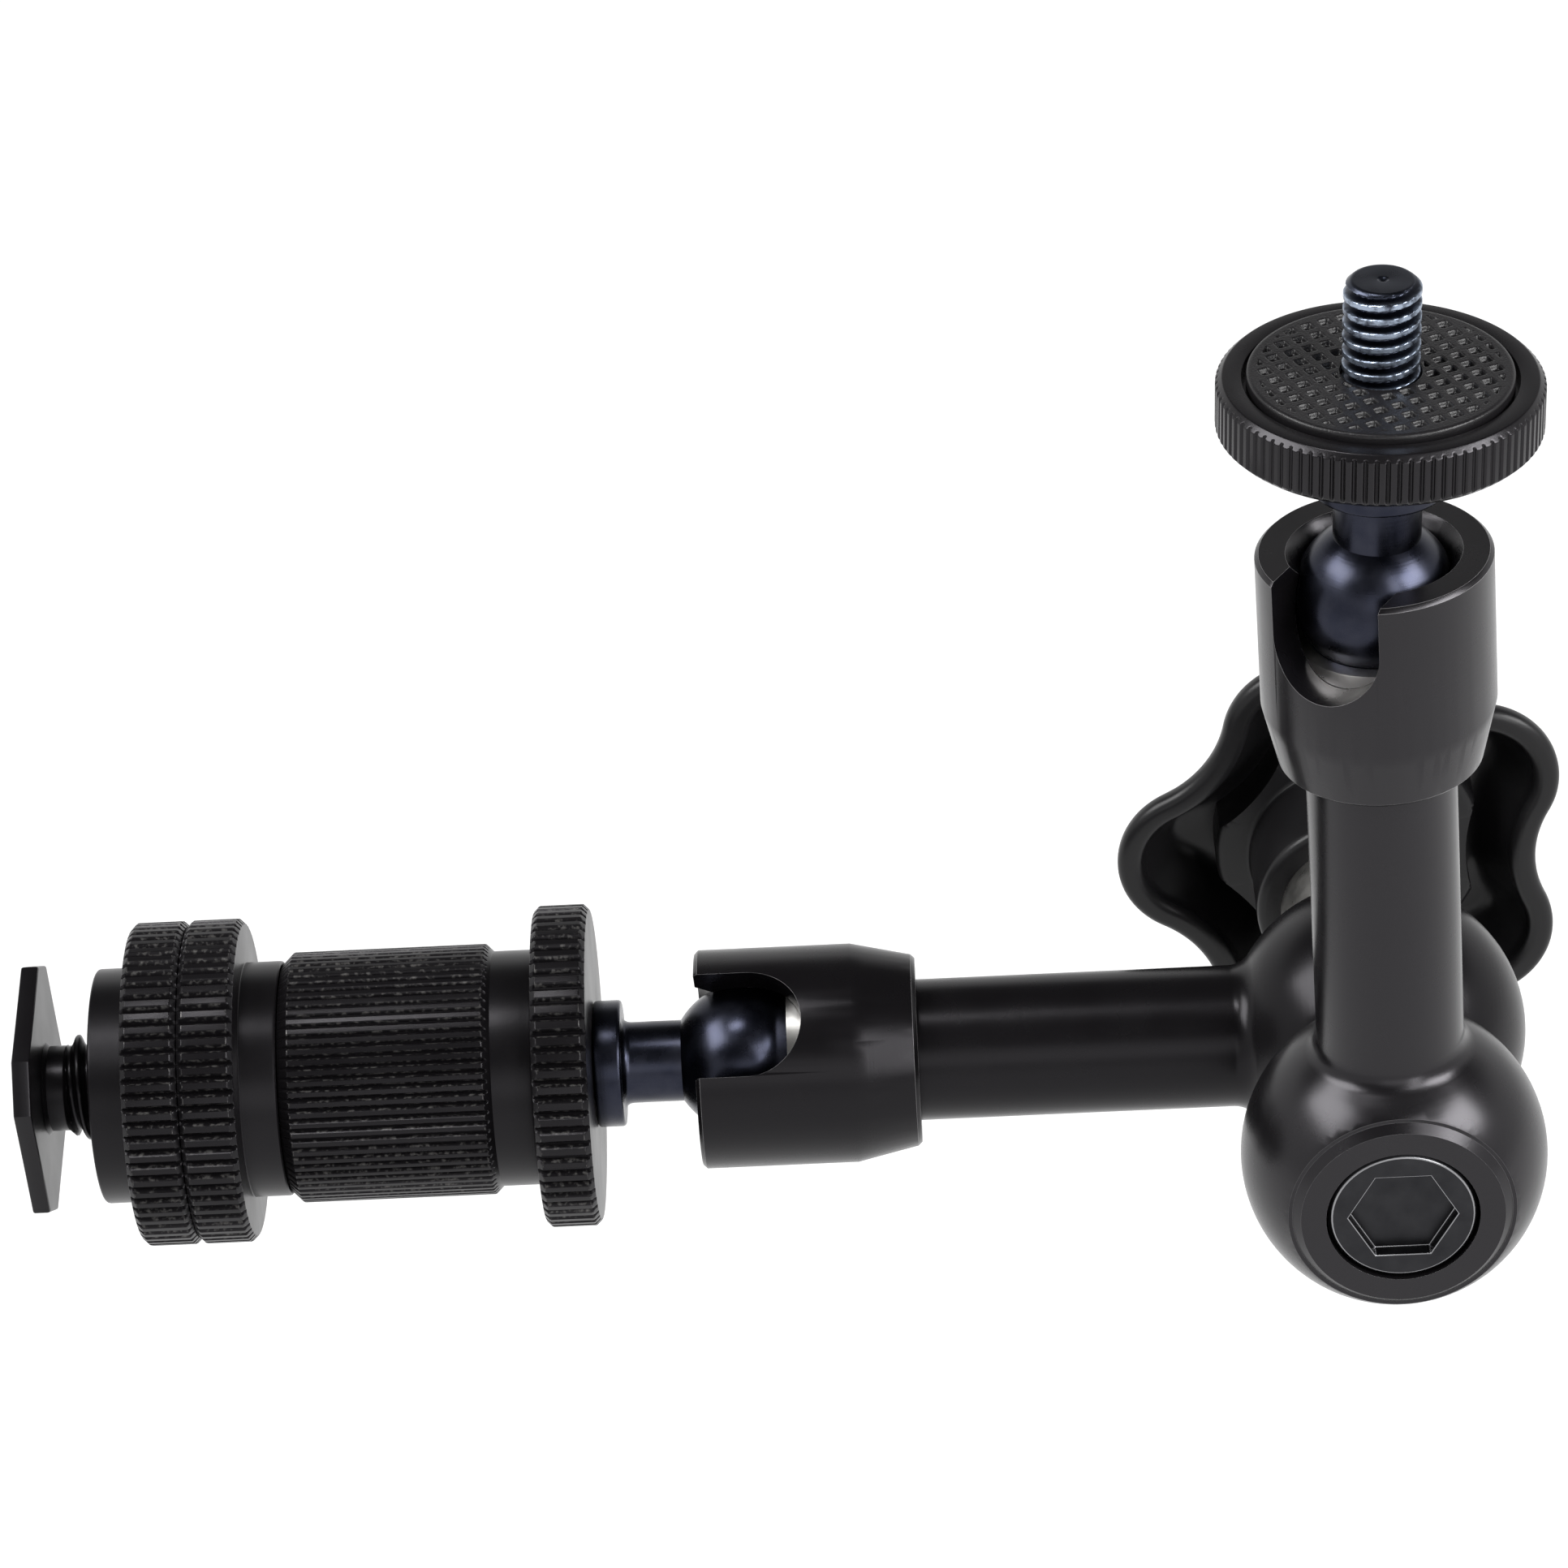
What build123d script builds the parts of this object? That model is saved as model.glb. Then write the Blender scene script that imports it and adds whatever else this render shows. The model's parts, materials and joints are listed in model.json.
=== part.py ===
"""Articulating friction arm: two ball-ended arms on a knob-locked elbow, a camera platform and a shoe adapter.

The shoe foot's outer face is at the origin, arm B runs along +X, the elbow axis is parallel to Y and arm A
stands along +Z in front of arm B. Everything is in millimetres.
"""

import os
from math import cos, pi, radians, sin, sqrt, tan

from build123d import *

# Fits and clearances
RUN_FIT = 0.06          # radial clearance of a shaft that turns or slides in its hole
FACE_GAP = 0.05         # between flat faces that turn on each other
SEAT_GAP = 0.05         # between the clamped faces of the locking train at rest
PLUNGER_FIT = 0.05      # radial clearance of a wedge in its cross bore
BALL_FIT = 0.08         # radial clearance of a ball in its socket
EDGE = 0.35             # general edge break
OVERLAP = 1.0           # how far a cutter or a joined solid runs past the face it meets

# Arm: a turned tube with a bulb at the elbow end
ARM_LENGTH = 56.8       # elbow axis to ball centre
ROD_RADIUS = 6.35
BULB_RADIUS = 13.35
BULB_FILLET = 2.3       # where the bulb runs into the rod
BULB_OUTER_FLAT = 9.7   # bulb centre to the flat that faces away from the elbow
FLAT_CHAMFER = 0.35
SPIGOT_RADIUS = 5.2
SPIGOT_LENGTH = 4.6

# Elbow
AXIS_SPACING = 18.8     # between the two arm axes, along the elbow axis
ARM_A_LEAN = -1.5       # of arm A about +Y, from square to arm B
ELBOW_WASHER = 0.4      # thickness of the friction washer between the bulbs
ELBOW_WASHER_RADIUS = 9.2

# Ball stud: ball, neck, flange and a quarter-inch camera thread
BALL_RADIUS = 6.75
NECK_RADIUS = 3.65
FLANGE_RADIUS = 5.7
FLANGE_START = 11.0     # ball centre to the flange's inner face
FLANGE_THICKNESS = 2.5
NECK_FILLET = 0.8
CAMERA_THREAD_RADIUS = 3.175
STUD_REACH = 29.3       # ball centre to the tip of the thread
TIP_CHAMFER = 0.6
TIP_DIMPLE_RADIUS = 1.3
TIP_DIMPLE_DEPTH = 0.8
TIP_DIMPLE_POINT = 0.2  # radius at the dimple's bottom
THREAD_RELIEF = 0.8     # width of the groove below the free thread
THREAD_RELIEF_DEPTH = 0.35
STUD_A_LEAN = 2.8       # of arm A's ball stud away from its arm's axis
STUD_A_LEAN_TURN = -9.2 # direction of that lean about +Z, from +X

# Socket: a slotted cup that screws onto the arm and holds the ball
SOCKET_RADIUS = 9.85
SOCKET_MOUTH = 4.2      # ball centre to the mouth plane
SOCKET_CYLINDER = 14.0
SOCKET_TAPER = 5.8
SOCKET_END_RADIUS = 8.63
LIP_DEPTH = 1.5         # mouth plane to the narrowest ring
MOUTH_RADIUS = 7.3
SLOT_WIDTH = 9.85
SLOT_DEPTH = 9.55
SLOT_TURN_A = -123.0    # direction of arm A's slot about +Z, from +X
SLOT_TURN_B = 55.0      # direction of arm B's slot about -X, from -Y, seen from the shoe

# Seat cup and push rod
CUP_RIM_GAP = 0.3       # between the cup's rim and the stud's neck when it is folded flat
CUP_BASE = 9.5          # ball centre down to the cup's flat base
CUP_SLACK = 0.8         # room under the cup
ROD_HOLE_RADIUS = 3.1
PUSH_ROD_RADIUS = 3.0

# Wedges, bolt and spring on the elbow axis
WEDGE_RADIUS = 6.6
WEDGE_ANGLE = 30.0      # of the cone's side to the elbow axis
WEDGE_MID_RADIUS = 5.55 # of the cone where the push rod bears on it
WEDGE_NOSE = 2.6        # arm axis to the wedge's small end
WEDGE_TAIL = 0.6        # wedge B beyond the bulb's outer flat
BOLT_RADIUS = 3.0
BOLT_HEAD_RADIUS = 6.5
BOLT_HEAD_THICKNESS = 3.8
BOLT_HEAD_SINK = 0.2    # head face below the bulb's outer flat
BOLT_HEX = 8.2          # across the flats of the key socket
BOLT_HEX_DEPTH = 1.2
BOLT_TIP_INSET = 0.4    # bolt end below the insert's outer end
SPRING_WIRE = 0.45      # wire radius
SPRING_RADIUS = 4.9
SPRING_TURNS = 4

# Knob
THRUST_WASHER_RADIUS = 8.3
THRUST_WASHER_THICKNESS = 1.4
INSERT_COLLAR_RADIUS = 7.2
INSERT_RADIUS = 6.0
KNOB_LOBES = 5
KNOB_TURN = 1.3         # of the lobes about the elbow axis
KNOB_TIP_RADIUS = 21.9
KNOB_VALLEY_RADIUS = 17.3
KNOB_LOBE_ROUND = 7.9
KNOB_WALL = 2.4
KNOB_DEPTH = 9.6        # rim to back
KNOB_STRAIGHT = 1.6     # rim to where the sides start to lean in
KNOB_LEAN = 31.0        # of the sides to the knob's axis
KNOB_FLOOR = 3.0
KNOB_SETBACK = 17.9     # bulb B's outer flat to the rim
KNOB_HUB_RADIUS = 9.4
KNOB_HUB_LEAD = 8.0     # hub beyond the rim, toward the bulb
KNOB_BOSS_RADIUS = 12.6
KNOB_BOSS_SINK = 1.8    # rim down to the boss round the hub
KNOB_RIM_ROUND = 0.9
KNOB_BACK_EDGE = 1.2    # chamfer round the back

# Platform disc on arm A and lock disc on arm B
DISC_A_RADIUS = 13.35
DISC_A_THICKNESS = 4.75
DISC_A_TOP = 20.45      # ball centre to the disc's top
DISC_A_FLUTES = 92
PAD_RADIUS = 10.85
PAD_THICKNESS = 1.5
PAD_PROUD = 0.6
PAD_EDGE_GAP = 0.35     # between the pad and the recess it lies in
PAD_HOLE_GAP = 0.1      # between the pad's hole and the screw
DISC_B_RADIUS = 14.5
DISC_B_THICKNESS = 4.9
DISC_B_FLUTES = 62

# Shoe adapter, from the foot to the barrel
FOOT_WIDTH = 18.6
FOOT_LENGTH = 19.7
FOOT_THICKNESS = 1.6
FOOT_CORNER = 3.45
FOOT_TURN = 12.0        # of the foot about the adapter's axis
FOOT_GAP = 5.0          # foot to the clamping nut
STUD_NECK_RADIUS = 3.85
STUD_NECK_LENGTH = 1.9
STUD_THREAD_RADIUS = 4.7625
NUT_HUB_RADIUS = 10.6
NUT_HUB_LENGTH = 3.4
NUT_RING_RADIUS = 14.6
NUT_RING_THICKNESS = 5.0
NUT_FLUTES = 70
BARREL_RADIUS = 11.3
BARREL_LENGTH = 19.3
BARREL_FLUTES = 74
BARREL_END_RADIUS = 10.6
BARREL_END_LENGTH = 3.5
BARREL_TAPPING_SPARE = 0.7  # quarter-inch hole beyond the screw's tip
BARREL_WEB = 2.2        # metal between the two threaded holes

# Knurling
FLUTE_DEPTH_DISC = 0.45
FLUTE_DEPTH_RING = 0.55
FLUTE_DEPTH_BARREL = 0.4
KNURL_EDGE = 0.5        # chamfer that breaks the knurl at each face

# Places along the adapter, measured from the foot's outer face
nut_front_x = FOOT_THICKNESS + FOOT_GAP
ring_front_x = nut_front_x + NUT_HUB_LENGTH
ring_rear_x = ring_front_x + NUT_RING_THICKNESS + FACE_GAP
hub_rear_x = ring_rear_x + NUT_RING_THICKNESS
barrel_x = hub_rear_x + NUT_HUB_LENGTH + FACE_GAP
barrel_end_x = barrel_x + BARREL_LENGTH + BARREL_END_LENGTH
flange_face = FLANGE_START + FLANGE_THICKNESS
screw_in_barrel = STUD_REACH - flange_face - DISC_B_THICKNESS - 2 * FACE_GAP
barrel_tapping = screw_in_barrel + BARREL_TAPPING_SPARE
stud_in_barrel = barrel_end_x - barrel_x - barrel_tapping - BARREL_WEB
ball_b_x = barrel_end_x + FACE_GAP + DISC_B_THICKNESS + FACE_GAP + flange_face
elbow_x = ball_b_x + ARM_LENGTH

# Sizes that follow
bulb_inner_flat = (AXIS_SPACING - ELBOW_WASHER - FACE_GAP) / 2
cross_bore_radius = WEDGE_RADIUS + PLUNGER_FIT
cavity_radius = BALL_RADIUS + BALL_FIT
lip_height = SOCKET_MOUTH - LIP_DEPTH
socket_length = SOCKET_CYLINDER + SOCKET_TAPER
socket_back = socket_length - SOCKET_MOUTH
shoulder_z = ARM_LENGTH - socket_back
disc_a_bottom = DISC_A_TOP - DISC_A_THICKNESS
rim_y = BULB_OUTER_FLAT + KNOB_SETBACK

# Frames that carry the arms: local +Z runs from the elbow to the ball, local -Y faces the outer flat
ARM_A = Location((elbow_x, -AXIS_SPACING, 0), (0, ARM_A_LEAN, 0))
ARM_B = Location(Plane(origin=(elbow_x, 0, 0), x_dir=(0, 0, -1), z_dir=(-1, 0, 0)))
BALL_A = ARM_A * Location((0, 0, ARM_LENGTH))
STUD_A = BALL_A * Rot(0, 0, STUD_A_LEAN_TURN) * Rot(0, STUD_A_LEAN, 0) * Rot(0, 0, -STUD_A_LEAN_TURN)
BALL_B = Location(Plane(origin=(ball_b_x, 0, 0), x_dir=(0, -1, 0), z_dir=(-1, 0, 0)))


def turned(points):
    """A solid of revolution about Z, from (radius, height) points."""
    with BuildPart() as part:
        with BuildSketch(Plane.XZ):
            with BuildLine():
                Polyline(*points, close=True)
            make_face()
        revolve(axis=Axis.Z)
    return part.part


def cylinder(radius, bottom, top):
    """A plain cylinder on Z between two heights."""
    return Pos(0, 0, (bottom + top) / 2) * Cylinder(radius, top - bottom)


def knurled(radius, bottom, top, flutes, depth, edge=KNURL_EDGE):
    """A straight-knurled cylinder on Z whose crests reach the radius, with both ends chamfered."""
    points = []
    for step in range(2 * flutes):
        reach = radius if step % 2 == 0 else radius - depth
        angle = pi * step / flutes
        points.append((reach * cos(angle), reach * sin(angle)))
    with BuildPart() as part:
        with BuildSketch(Plane.XY.offset(bottom)):
            with BuildLine():
                Polyline(*points, close=True)
            make_face()
        extrude(amount=top - bottom)
    blank = turned([
        (0, bottom),
        (radius - edge, bottom),
        (radius, bottom + edge),
        (radius, top - edge),
        (radius - edge, top),
        (0, top),
    ])
    return part.part & blank


def along_adapter(shape):
    """Carries a shape built on +Z onto the adapter's axis, +X."""
    return Rot(0, 90, 0) * shape


def shoe_foot():
    """The foot that slides into an accessory shoe, with its threaded stud in one piece."""
    plate = Box(FOOT_LENGTH, FOOT_WIDTH, FOOT_THICKNESS, align=(Align.CENTER, Align.CENTER, Align.MIN))
    plate = chamfer(plate.edges().filter_by(Axis.Z), FOOT_CORNER)
    neck_top = FOOT_THICKNESS + STUD_NECK_LENGTH
    stud_top = barrel_x + stud_in_barrel
    stud = turned([
        (0, FOOT_THICKNESS / 2),
        (STUD_NECK_RADIUS, FOOT_THICKNESS / 2),
        (STUD_NECK_RADIUS, neck_top),
        (STUD_THREAD_RADIUS, neck_top + STUD_THREAD_RADIUS - STUD_NECK_RADIUS),
        (STUD_THREAD_RADIUS, stud_top - TIP_CHAMFER),
        (STUD_THREAD_RADIUS - TIP_CHAMFER, stud_top),
        (0, stud_top),
    ])
    return along_adapter(Rot(0, 0, FOOT_TURN) * (plate + stud))


def lock_nut(hub_start, hub_end, ring_start):
    """A knurled ring with a smooth hub, bored for the stud's thread."""
    hub = cylinder(NUT_HUB_RADIUS, hub_start, hub_end)
    hub = chamfer(hub.edges(), EDGE)
    ring_end = ring_start + NUT_RING_THICKNESS
    ring = knurled(NUT_RING_RADIUS, ring_start, ring_end, NUT_FLUTES, FLUTE_DEPTH_RING)
    low = min(hub_start, ring_start)
    high = max(hub_end, ring_end)
    bore = cylinder(STUD_THREAD_RADIUS + RUN_FIT, low - OVERLAP, high + OVERLAP)
    return along_adapter(hub + ring - bore)


def adapter_barrel():
    """The knurled barrel: three-eighths thread toward the foot, quarter-inch thread toward the ball stud."""
    knurl_end = barrel_x + BARREL_LENGTH
    body = knurled(BARREL_RADIUS, barrel_x, knurl_end, BARREL_FLUTES, FLUTE_DEPTH_BARREL, 2 * KNURL_EDGE)
    end = cylinder(BARREL_END_RADIUS, knurl_end - OVERLAP, barrel_end_x)
    end = chamfer(end.edges().group_by(Axis.Z)[-1], EDGE)
    stud_hole_end = barrel_x + stud_in_barrel + SEAT_GAP
    stud_hole = cylinder(STUD_THREAD_RADIUS + RUN_FIT, barrel_x - OVERLAP, stud_hole_end)
    screw_hole = cylinder(CAMERA_THREAD_RADIUS, barrel_end_x - barrel_tapping, barrel_end_x + OVERLAP)
    return along_adapter(body + end - stud_hole - screw_hole)


def ball_stud():
    """Ball, neck, flange and camera thread in one turned piece, with the ball's centre at the origin."""
    neck_start = sqrt(BALL_RADIUS**2 - NECK_RADIUS**2)
    relief_top = DISC_A_TOP + PAD_PROUD
    relief_bottom = relief_top - THREAD_RELIEF
    relief_radius = CAMERA_THREAD_RADIUS - THREAD_RELIEF_DEPTH
    with BuildPart() as part:
        with BuildSketch(Plane.XZ):
            with BuildLine():
                Line((0, -BALL_RADIUS), (0, STUD_REACH))
                Line((0, STUD_REACH), (CAMERA_THREAD_RADIUS - TIP_CHAMFER, STUD_REACH))
                Line((CAMERA_THREAD_RADIUS - TIP_CHAMFER, STUD_REACH),
                     (CAMERA_THREAD_RADIUS, STUD_REACH - TIP_CHAMFER))
                Line((CAMERA_THREAD_RADIUS, STUD_REACH - TIP_CHAMFER), (CAMERA_THREAD_RADIUS, relief_top))
                Line((CAMERA_THREAD_RADIUS, relief_top), (relief_radius, relief_top))
                Line((relief_radius, relief_top), (relief_radius, relief_bottom))
                Line((relief_radius, relief_bottom), (CAMERA_THREAD_RADIUS, relief_bottom))
                Line((CAMERA_THREAD_RADIUS, relief_bottom), (CAMERA_THREAD_RADIUS, flange_face))
                Line((CAMERA_THREAD_RADIUS, flange_face), (FLANGE_RADIUS - EDGE, flange_face))
                Line((FLANGE_RADIUS - EDGE, flange_face), (FLANGE_RADIUS, flange_face - EDGE))
                Line((FLANGE_RADIUS, flange_face - EDGE), (FLANGE_RADIUS, FLANGE_START + EDGE))
                Line((FLANGE_RADIUS, FLANGE_START + EDGE), (FLANGE_RADIUS - EDGE, FLANGE_START))
                Line((FLANGE_RADIUS - EDGE, FLANGE_START), (NECK_RADIUS + NECK_FILLET, FLANGE_START))
                RadiusArc((NECK_RADIUS + NECK_FILLET, FLANGE_START),
                          (NECK_RADIUS, FLANGE_START - NECK_FILLET), -NECK_FILLET)
                Line((NECK_RADIUS, FLANGE_START - NECK_FILLET), (NECK_RADIUS, neck_start))
                ThreePointArc((NECK_RADIUS, neck_start), (BALL_RADIUS, 0), (0, -BALL_RADIUS))
            make_face()
        revolve(axis=Axis.Z)
    dimple = Cone(TIP_DIMPLE_POINT, TIP_DIMPLE_RADIUS, TIP_DIMPLE_DEPTH)
    return part.part - Pos(0, 0, STUD_REACH - TIP_DIMPLE_DEPTH / 2) * dimple


def slot_tool(turn):
    """The cutter for a socket's slot: straight sides and a round end, toward the given turn about Z."""
    half = SLOT_WIDTH / 2
    reach = SOCKET_RADIUS + OVERLAP
    round_z = SOCKET_MOUTH - SLOT_DEPTH + half
    top = SOCKET_MOUTH + OVERLAP
    block = Pos(reach / 2, 0, (round_z + top) / 2) * Box(reach, SLOT_WIDTH, top - round_z)
    end = Pos(reach / 2, 0, round_z) * Rot(0, 90, 0) * Cylinder(half, reach)
    return Rot(0, 0, turn) * (block + end)


def socket(turn):
    """A ball socket with the ball's centre at the origin: cylinder, taper, spherical seat, lip and slot."""
    back = -socket_back
    taper_start = SOCKET_MOUTH - SOCKET_CYLINDER
    lip_radius = sqrt(cavity_radius**2 - lip_height**2)
    bore_end = -CUP_BASE - CUP_SLACK
    shell = turned([
        (0, SOCKET_MOUTH),
        (SOCKET_RADIUS - EDGE, SOCKET_MOUTH),
        (SOCKET_RADIUS, SOCKET_MOUTH - EDGE),
        (SOCKET_RADIUS, taper_start),
        (SOCKET_END_RADIUS, back + EDGE),
        (SOCKET_END_RADIUS - EDGE, back),
        (0, back),
    ])
    with BuildPart() as hollow:
        with BuildSketch(Plane.XZ):
            with BuildLine():
                Line((0, SOCKET_MOUTH + OVERLAP), (MOUTH_RADIUS, SOCKET_MOUTH + OVERLAP))
                Line((MOUTH_RADIUS, SOCKET_MOUTH + OVERLAP), (MOUTH_RADIUS, SOCKET_MOUTH))
                Line((MOUTH_RADIUS, SOCKET_MOUTH), (lip_radius, lip_height))
                RadiusArc((lip_radius, lip_height), (cavity_radius, 0), cavity_radius)
                Line((cavity_radius, 0), (cavity_radius, bore_end))
                Line((cavity_radius, bore_end), (SPIGOT_RADIUS, bore_end))
                Line((SPIGOT_RADIUS, bore_end), (SPIGOT_RADIUS, back - OVERLAP))
                Line((SPIGOT_RADIUS, back - OVERLAP), (0, back - OVERLAP))
                Line((0, back - OVERLAP), (0, SOCKET_MOUTH + OVERLAP))
            make_face()
        revolve(axis=Axis.Z)
    return shell - hollow.part - slot_tool(turn)


def seat_cup():
    """The cup that carries the ball, a sliding fit in the socket's bore."""
    blank = cylinder(cavity_radius - RUN_FIT, -CUP_BASE, -NECK_RADIUS - CUP_RIM_GAP)
    blank = chamfer(blank.edges().group_by(Axis.Z)[0], EDGE)
    return blank - Sphere(BALL_RADIUS + SEAT_GAP)


def push_rod():
    """The rod that carries the wedge's push to the seat cup, with a domed foot. Elbow axis at height 0."""
    dome_z = WEDGE_MID_RADIUS + (PUSH_ROD_RADIUS + SEAT_GAP) / cos(radians(WEDGE_ANGLE))
    top = ARM_LENGTH - CUP_BASE
    return cylinder(PUSH_ROD_RADIUS, dome_z, top) + Pos(0, 0, dome_z) * Sphere(PUSH_ROD_RADIUS)


def arm():
    """The tube with its bulb: elbow axis along Y through the origin, outer flat toward -Y, ball end up."""
    fillet_reach = BULB_RADIUS + BULB_FILLET
    fillet_radius = ROD_RADIUS + BULB_FILLET
    fillet_z = sqrt(fillet_reach**2 - fillet_radius**2)
    on_bulb = BULB_RADIUS / fillet_reach
    tangent = (fillet_radius * on_bulb, fillet_z * on_bulb)
    shoulder = shoulder_z
    spigot_top = shoulder + SPIGOT_LENGTH
    with BuildPart() as body:
        with BuildSketch(Plane.XZ):
            with BuildLine():
                Line((0, -BULB_RADIUS), (0, spigot_top))
                Line((0, spigot_top), (SPIGOT_RADIUS - EDGE, spigot_top))
                Line((SPIGOT_RADIUS - EDGE, spigot_top), (SPIGOT_RADIUS, spigot_top - EDGE))
                Line((SPIGOT_RADIUS, spigot_top - EDGE), (SPIGOT_RADIUS, shoulder))
                Line((SPIGOT_RADIUS, shoulder), (ROD_RADIUS, shoulder))
                Line((ROD_RADIUS, shoulder), (ROD_RADIUS, fillet_z))
                RadiusArc((ROD_RADIUS, fillet_z), tangent, -BULB_FILLET)
                ThreePointArc(tangent, (BULB_RADIUS, 0), (0, -BULB_RADIUS))
            make_face()
        revolve(axis=Axis.Z)
    trim = Box(4 * BULB_RADIUS, 2 * BULB_RADIUS, 4 * BULB_RADIUS)
    outer = Pos(0, -BULB_OUTER_FLAT - BULB_RADIUS, 0) * trim
    inner = Pos(0, bulb_inner_flat + BULB_RADIUS, 0) * trim
    cross = Rot(90, 0, 0) * Cylinder(cross_bore_radius, 4 * BULB_RADIUS)
    flat_radius = sqrt(BULB_RADIUS**2 - BULB_OUTER_FLAT**2)
    rim = Location(Plane(origin=(0, -BULB_OUTER_FLAT, 0), z_dir=(0, 1, 0))) * turned([
        (flat_radius - FLAT_CHAMFER, -OVERLAP),
        (flat_radius - FLAT_CHAMFER, 0),
        (flat_radius + FLAT_CHAMFER, 2 * FLAT_CHAMFER),
        (flat_radius + OVERLAP, 2 * FLAT_CHAMFER),
        (flat_radius + OVERLAP, -OVERLAP),
    ])
    rod_hole = cylinder(ROD_HOLE_RADIUS, 0, spigot_top + OVERLAP)
    return body.part - outer - inner - rim - cross - rod_hole


def wedge(tail):
    """A conical wedge on Z: the cone narrows toward +Z, and the arm's axis crosses at height 0."""
    slope = tan(radians(WEDGE_ANGLE))
    cone_start = (WEDGE_MID_RADIUS - WEDGE_RADIUS) / slope
    nose_radius = WEDGE_MID_RADIUS - WEDGE_NOSE * slope
    bore = BOLT_RADIUS + RUN_FIT
    return turned([
        (bore, tail),
        (WEDGE_RADIUS, tail),
        (WEDGE_RADIUS, cone_start),
        (nose_radius, WEDGE_NOSE),
        (bore, WEDGE_NOSE),
    ])


def on_elbow_axis(arm_y, toward):
    """The frame of a wedge: its +Z runs along the elbow axis toward +Y or -Y, from an arm's axis."""
    return Location(Plane(origin=(elbow_x, arm_y, 0), x_dir=(1, 0, 0), z_dir=(0, toward, 0)))


def axle_bolt():
    """The bolt through the elbow, with a hexagonal key socket in its head."""
    head_face = -AXIS_SPACING - BULB_OUTER_FLAT + BOLT_HEAD_SINK
    under_head = head_face + BOLT_HEAD_THICKNESS
    insert_end = rim_y + KNOB_DEPTH
    length = insert_end - BOLT_TIP_INSET - head_face
    head = cylinder(BOLT_HEAD_RADIUS, 0, BOLT_HEAD_THICKNESS)
    head = chamfer(head.edges().group_by(Axis.Z)[0], EDGE)
    shank = cylinder(BOLT_RADIUS, BOLT_HEAD_THICKNESS / 2, length)
    shank = chamfer(shank.edges().group_by(Axis.Z)[-1], TIP_CHAMFER)
    with BuildPart() as key:
        with BuildSketch():
            RegularPolygon(BOLT_HEX / 2, 6, major_radius=False)
        extrude(amount=BOLT_HEX_DEPTH)
    place = Location(Plane(origin=(elbow_x, head_face, 0), x_dir=(1, 0, 0), z_dir=(0, 1, 0)))
    return place * (head + shank - key.part), under_head


def release_spring(start, end):
    """The coil that parts the wedges when the knob is let off, round the bolt between two places on Y."""
    length = end - start - 2 * SPRING_WIRE - 2 * SEAT_GAP
    coil = Helix(pitch=length / SPRING_TURNS, height=length, radius=SPRING_RADIUS)
    section = Plane(origin=coil @ 0, z_dir=coil % 0) * Circle(SPRING_WIRE)
    wire = sweep(section, path=coil)
    first = start + SPRING_WIRE + SEAT_GAP
    return Location(Plane(origin=(elbow_x, first, 0), x_dir=(1, 0, 0), z_dir=(0, 1, 0))) * wire


def ring_on_elbow(outer, inner, start, end):
    """A plain ring on the elbow axis between two places on Y."""
    ring = cylinder(outer, 0, end - start) - cylinder(inner, -OVERLAP, end - start + OVERLAP)
    return Location(Plane(origin=(elbow_x, start, 0), x_dir=(1, 0, 0), z_dir=(0, 1, 0))) * ring


def polar(reach, angle):
    """A point in the XY plane at a distance and an angle in radians from the origin."""
    return (reach * cos(angle), reach * sin(angle))


def between(first, second, share):
    """The point that lies the given share of the way from the first point to the second."""
    return tuple(p + (q - p) * share for p, q in zip(first, second))


def lobed_face(inset):
    """The knob's outline as a face: round lobes and valleys, tangent to each other, set in by an amount."""
    half_pitch = pi / KNOB_LOBES
    lobe_reach = KNOB_TIP_RADIUS - KNOB_LOBE_ROUND
    waist = KNOB_VALLEY_RADIUS - KNOB_LOBE_ROUND
    valley_reach = (lobe_reach**2 - waist**2) / 2 / (lobe_reach * cos(half_pitch) - waist)
    valley_round = valley_reach - KNOB_VALLEY_RADIUS
    share = KNOB_LOBE_ROUND / (KNOB_LOBE_ROUND + valley_round)
    share -= inset / (KNOB_LOBE_ROUND + valley_round)
    with BuildSketch() as outline:
        with BuildLine():
            for lobe in range(KNOB_LOBES):
                middle = (2 * lobe + 1) * half_pitch
                centre = polar(lobe_reach, middle)
                before = between(centre, polar(valley_reach, middle - half_pitch), share)
                after = between(centre, polar(valley_reach, middle + half_pitch), share)
                start_next = between(polar(lobe_reach, middle + 2 * half_pitch),
                                     polar(valley_reach, middle + half_pitch), share)
                ThreePointArc(before, polar(KNOB_TIP_RADIUS - inset, middle), after)
                ThreePointArc(after, polar(KNOB_VALLEY_RADIUS - inset, middle + half_pitch), start_next)
        make_face()
    return outline.sketch


def lobed_layer(inset_low, low, inset_high, high):
    """A slab of the knob between two heights, its outline set in by one amount below and another above."""
    faces = [Pos(0, 0, low) * lobed_face(inset_low), Pos(0, 0, high) * lobed_face(inset_high)]
    return loft(faces, ruled=True)


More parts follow.
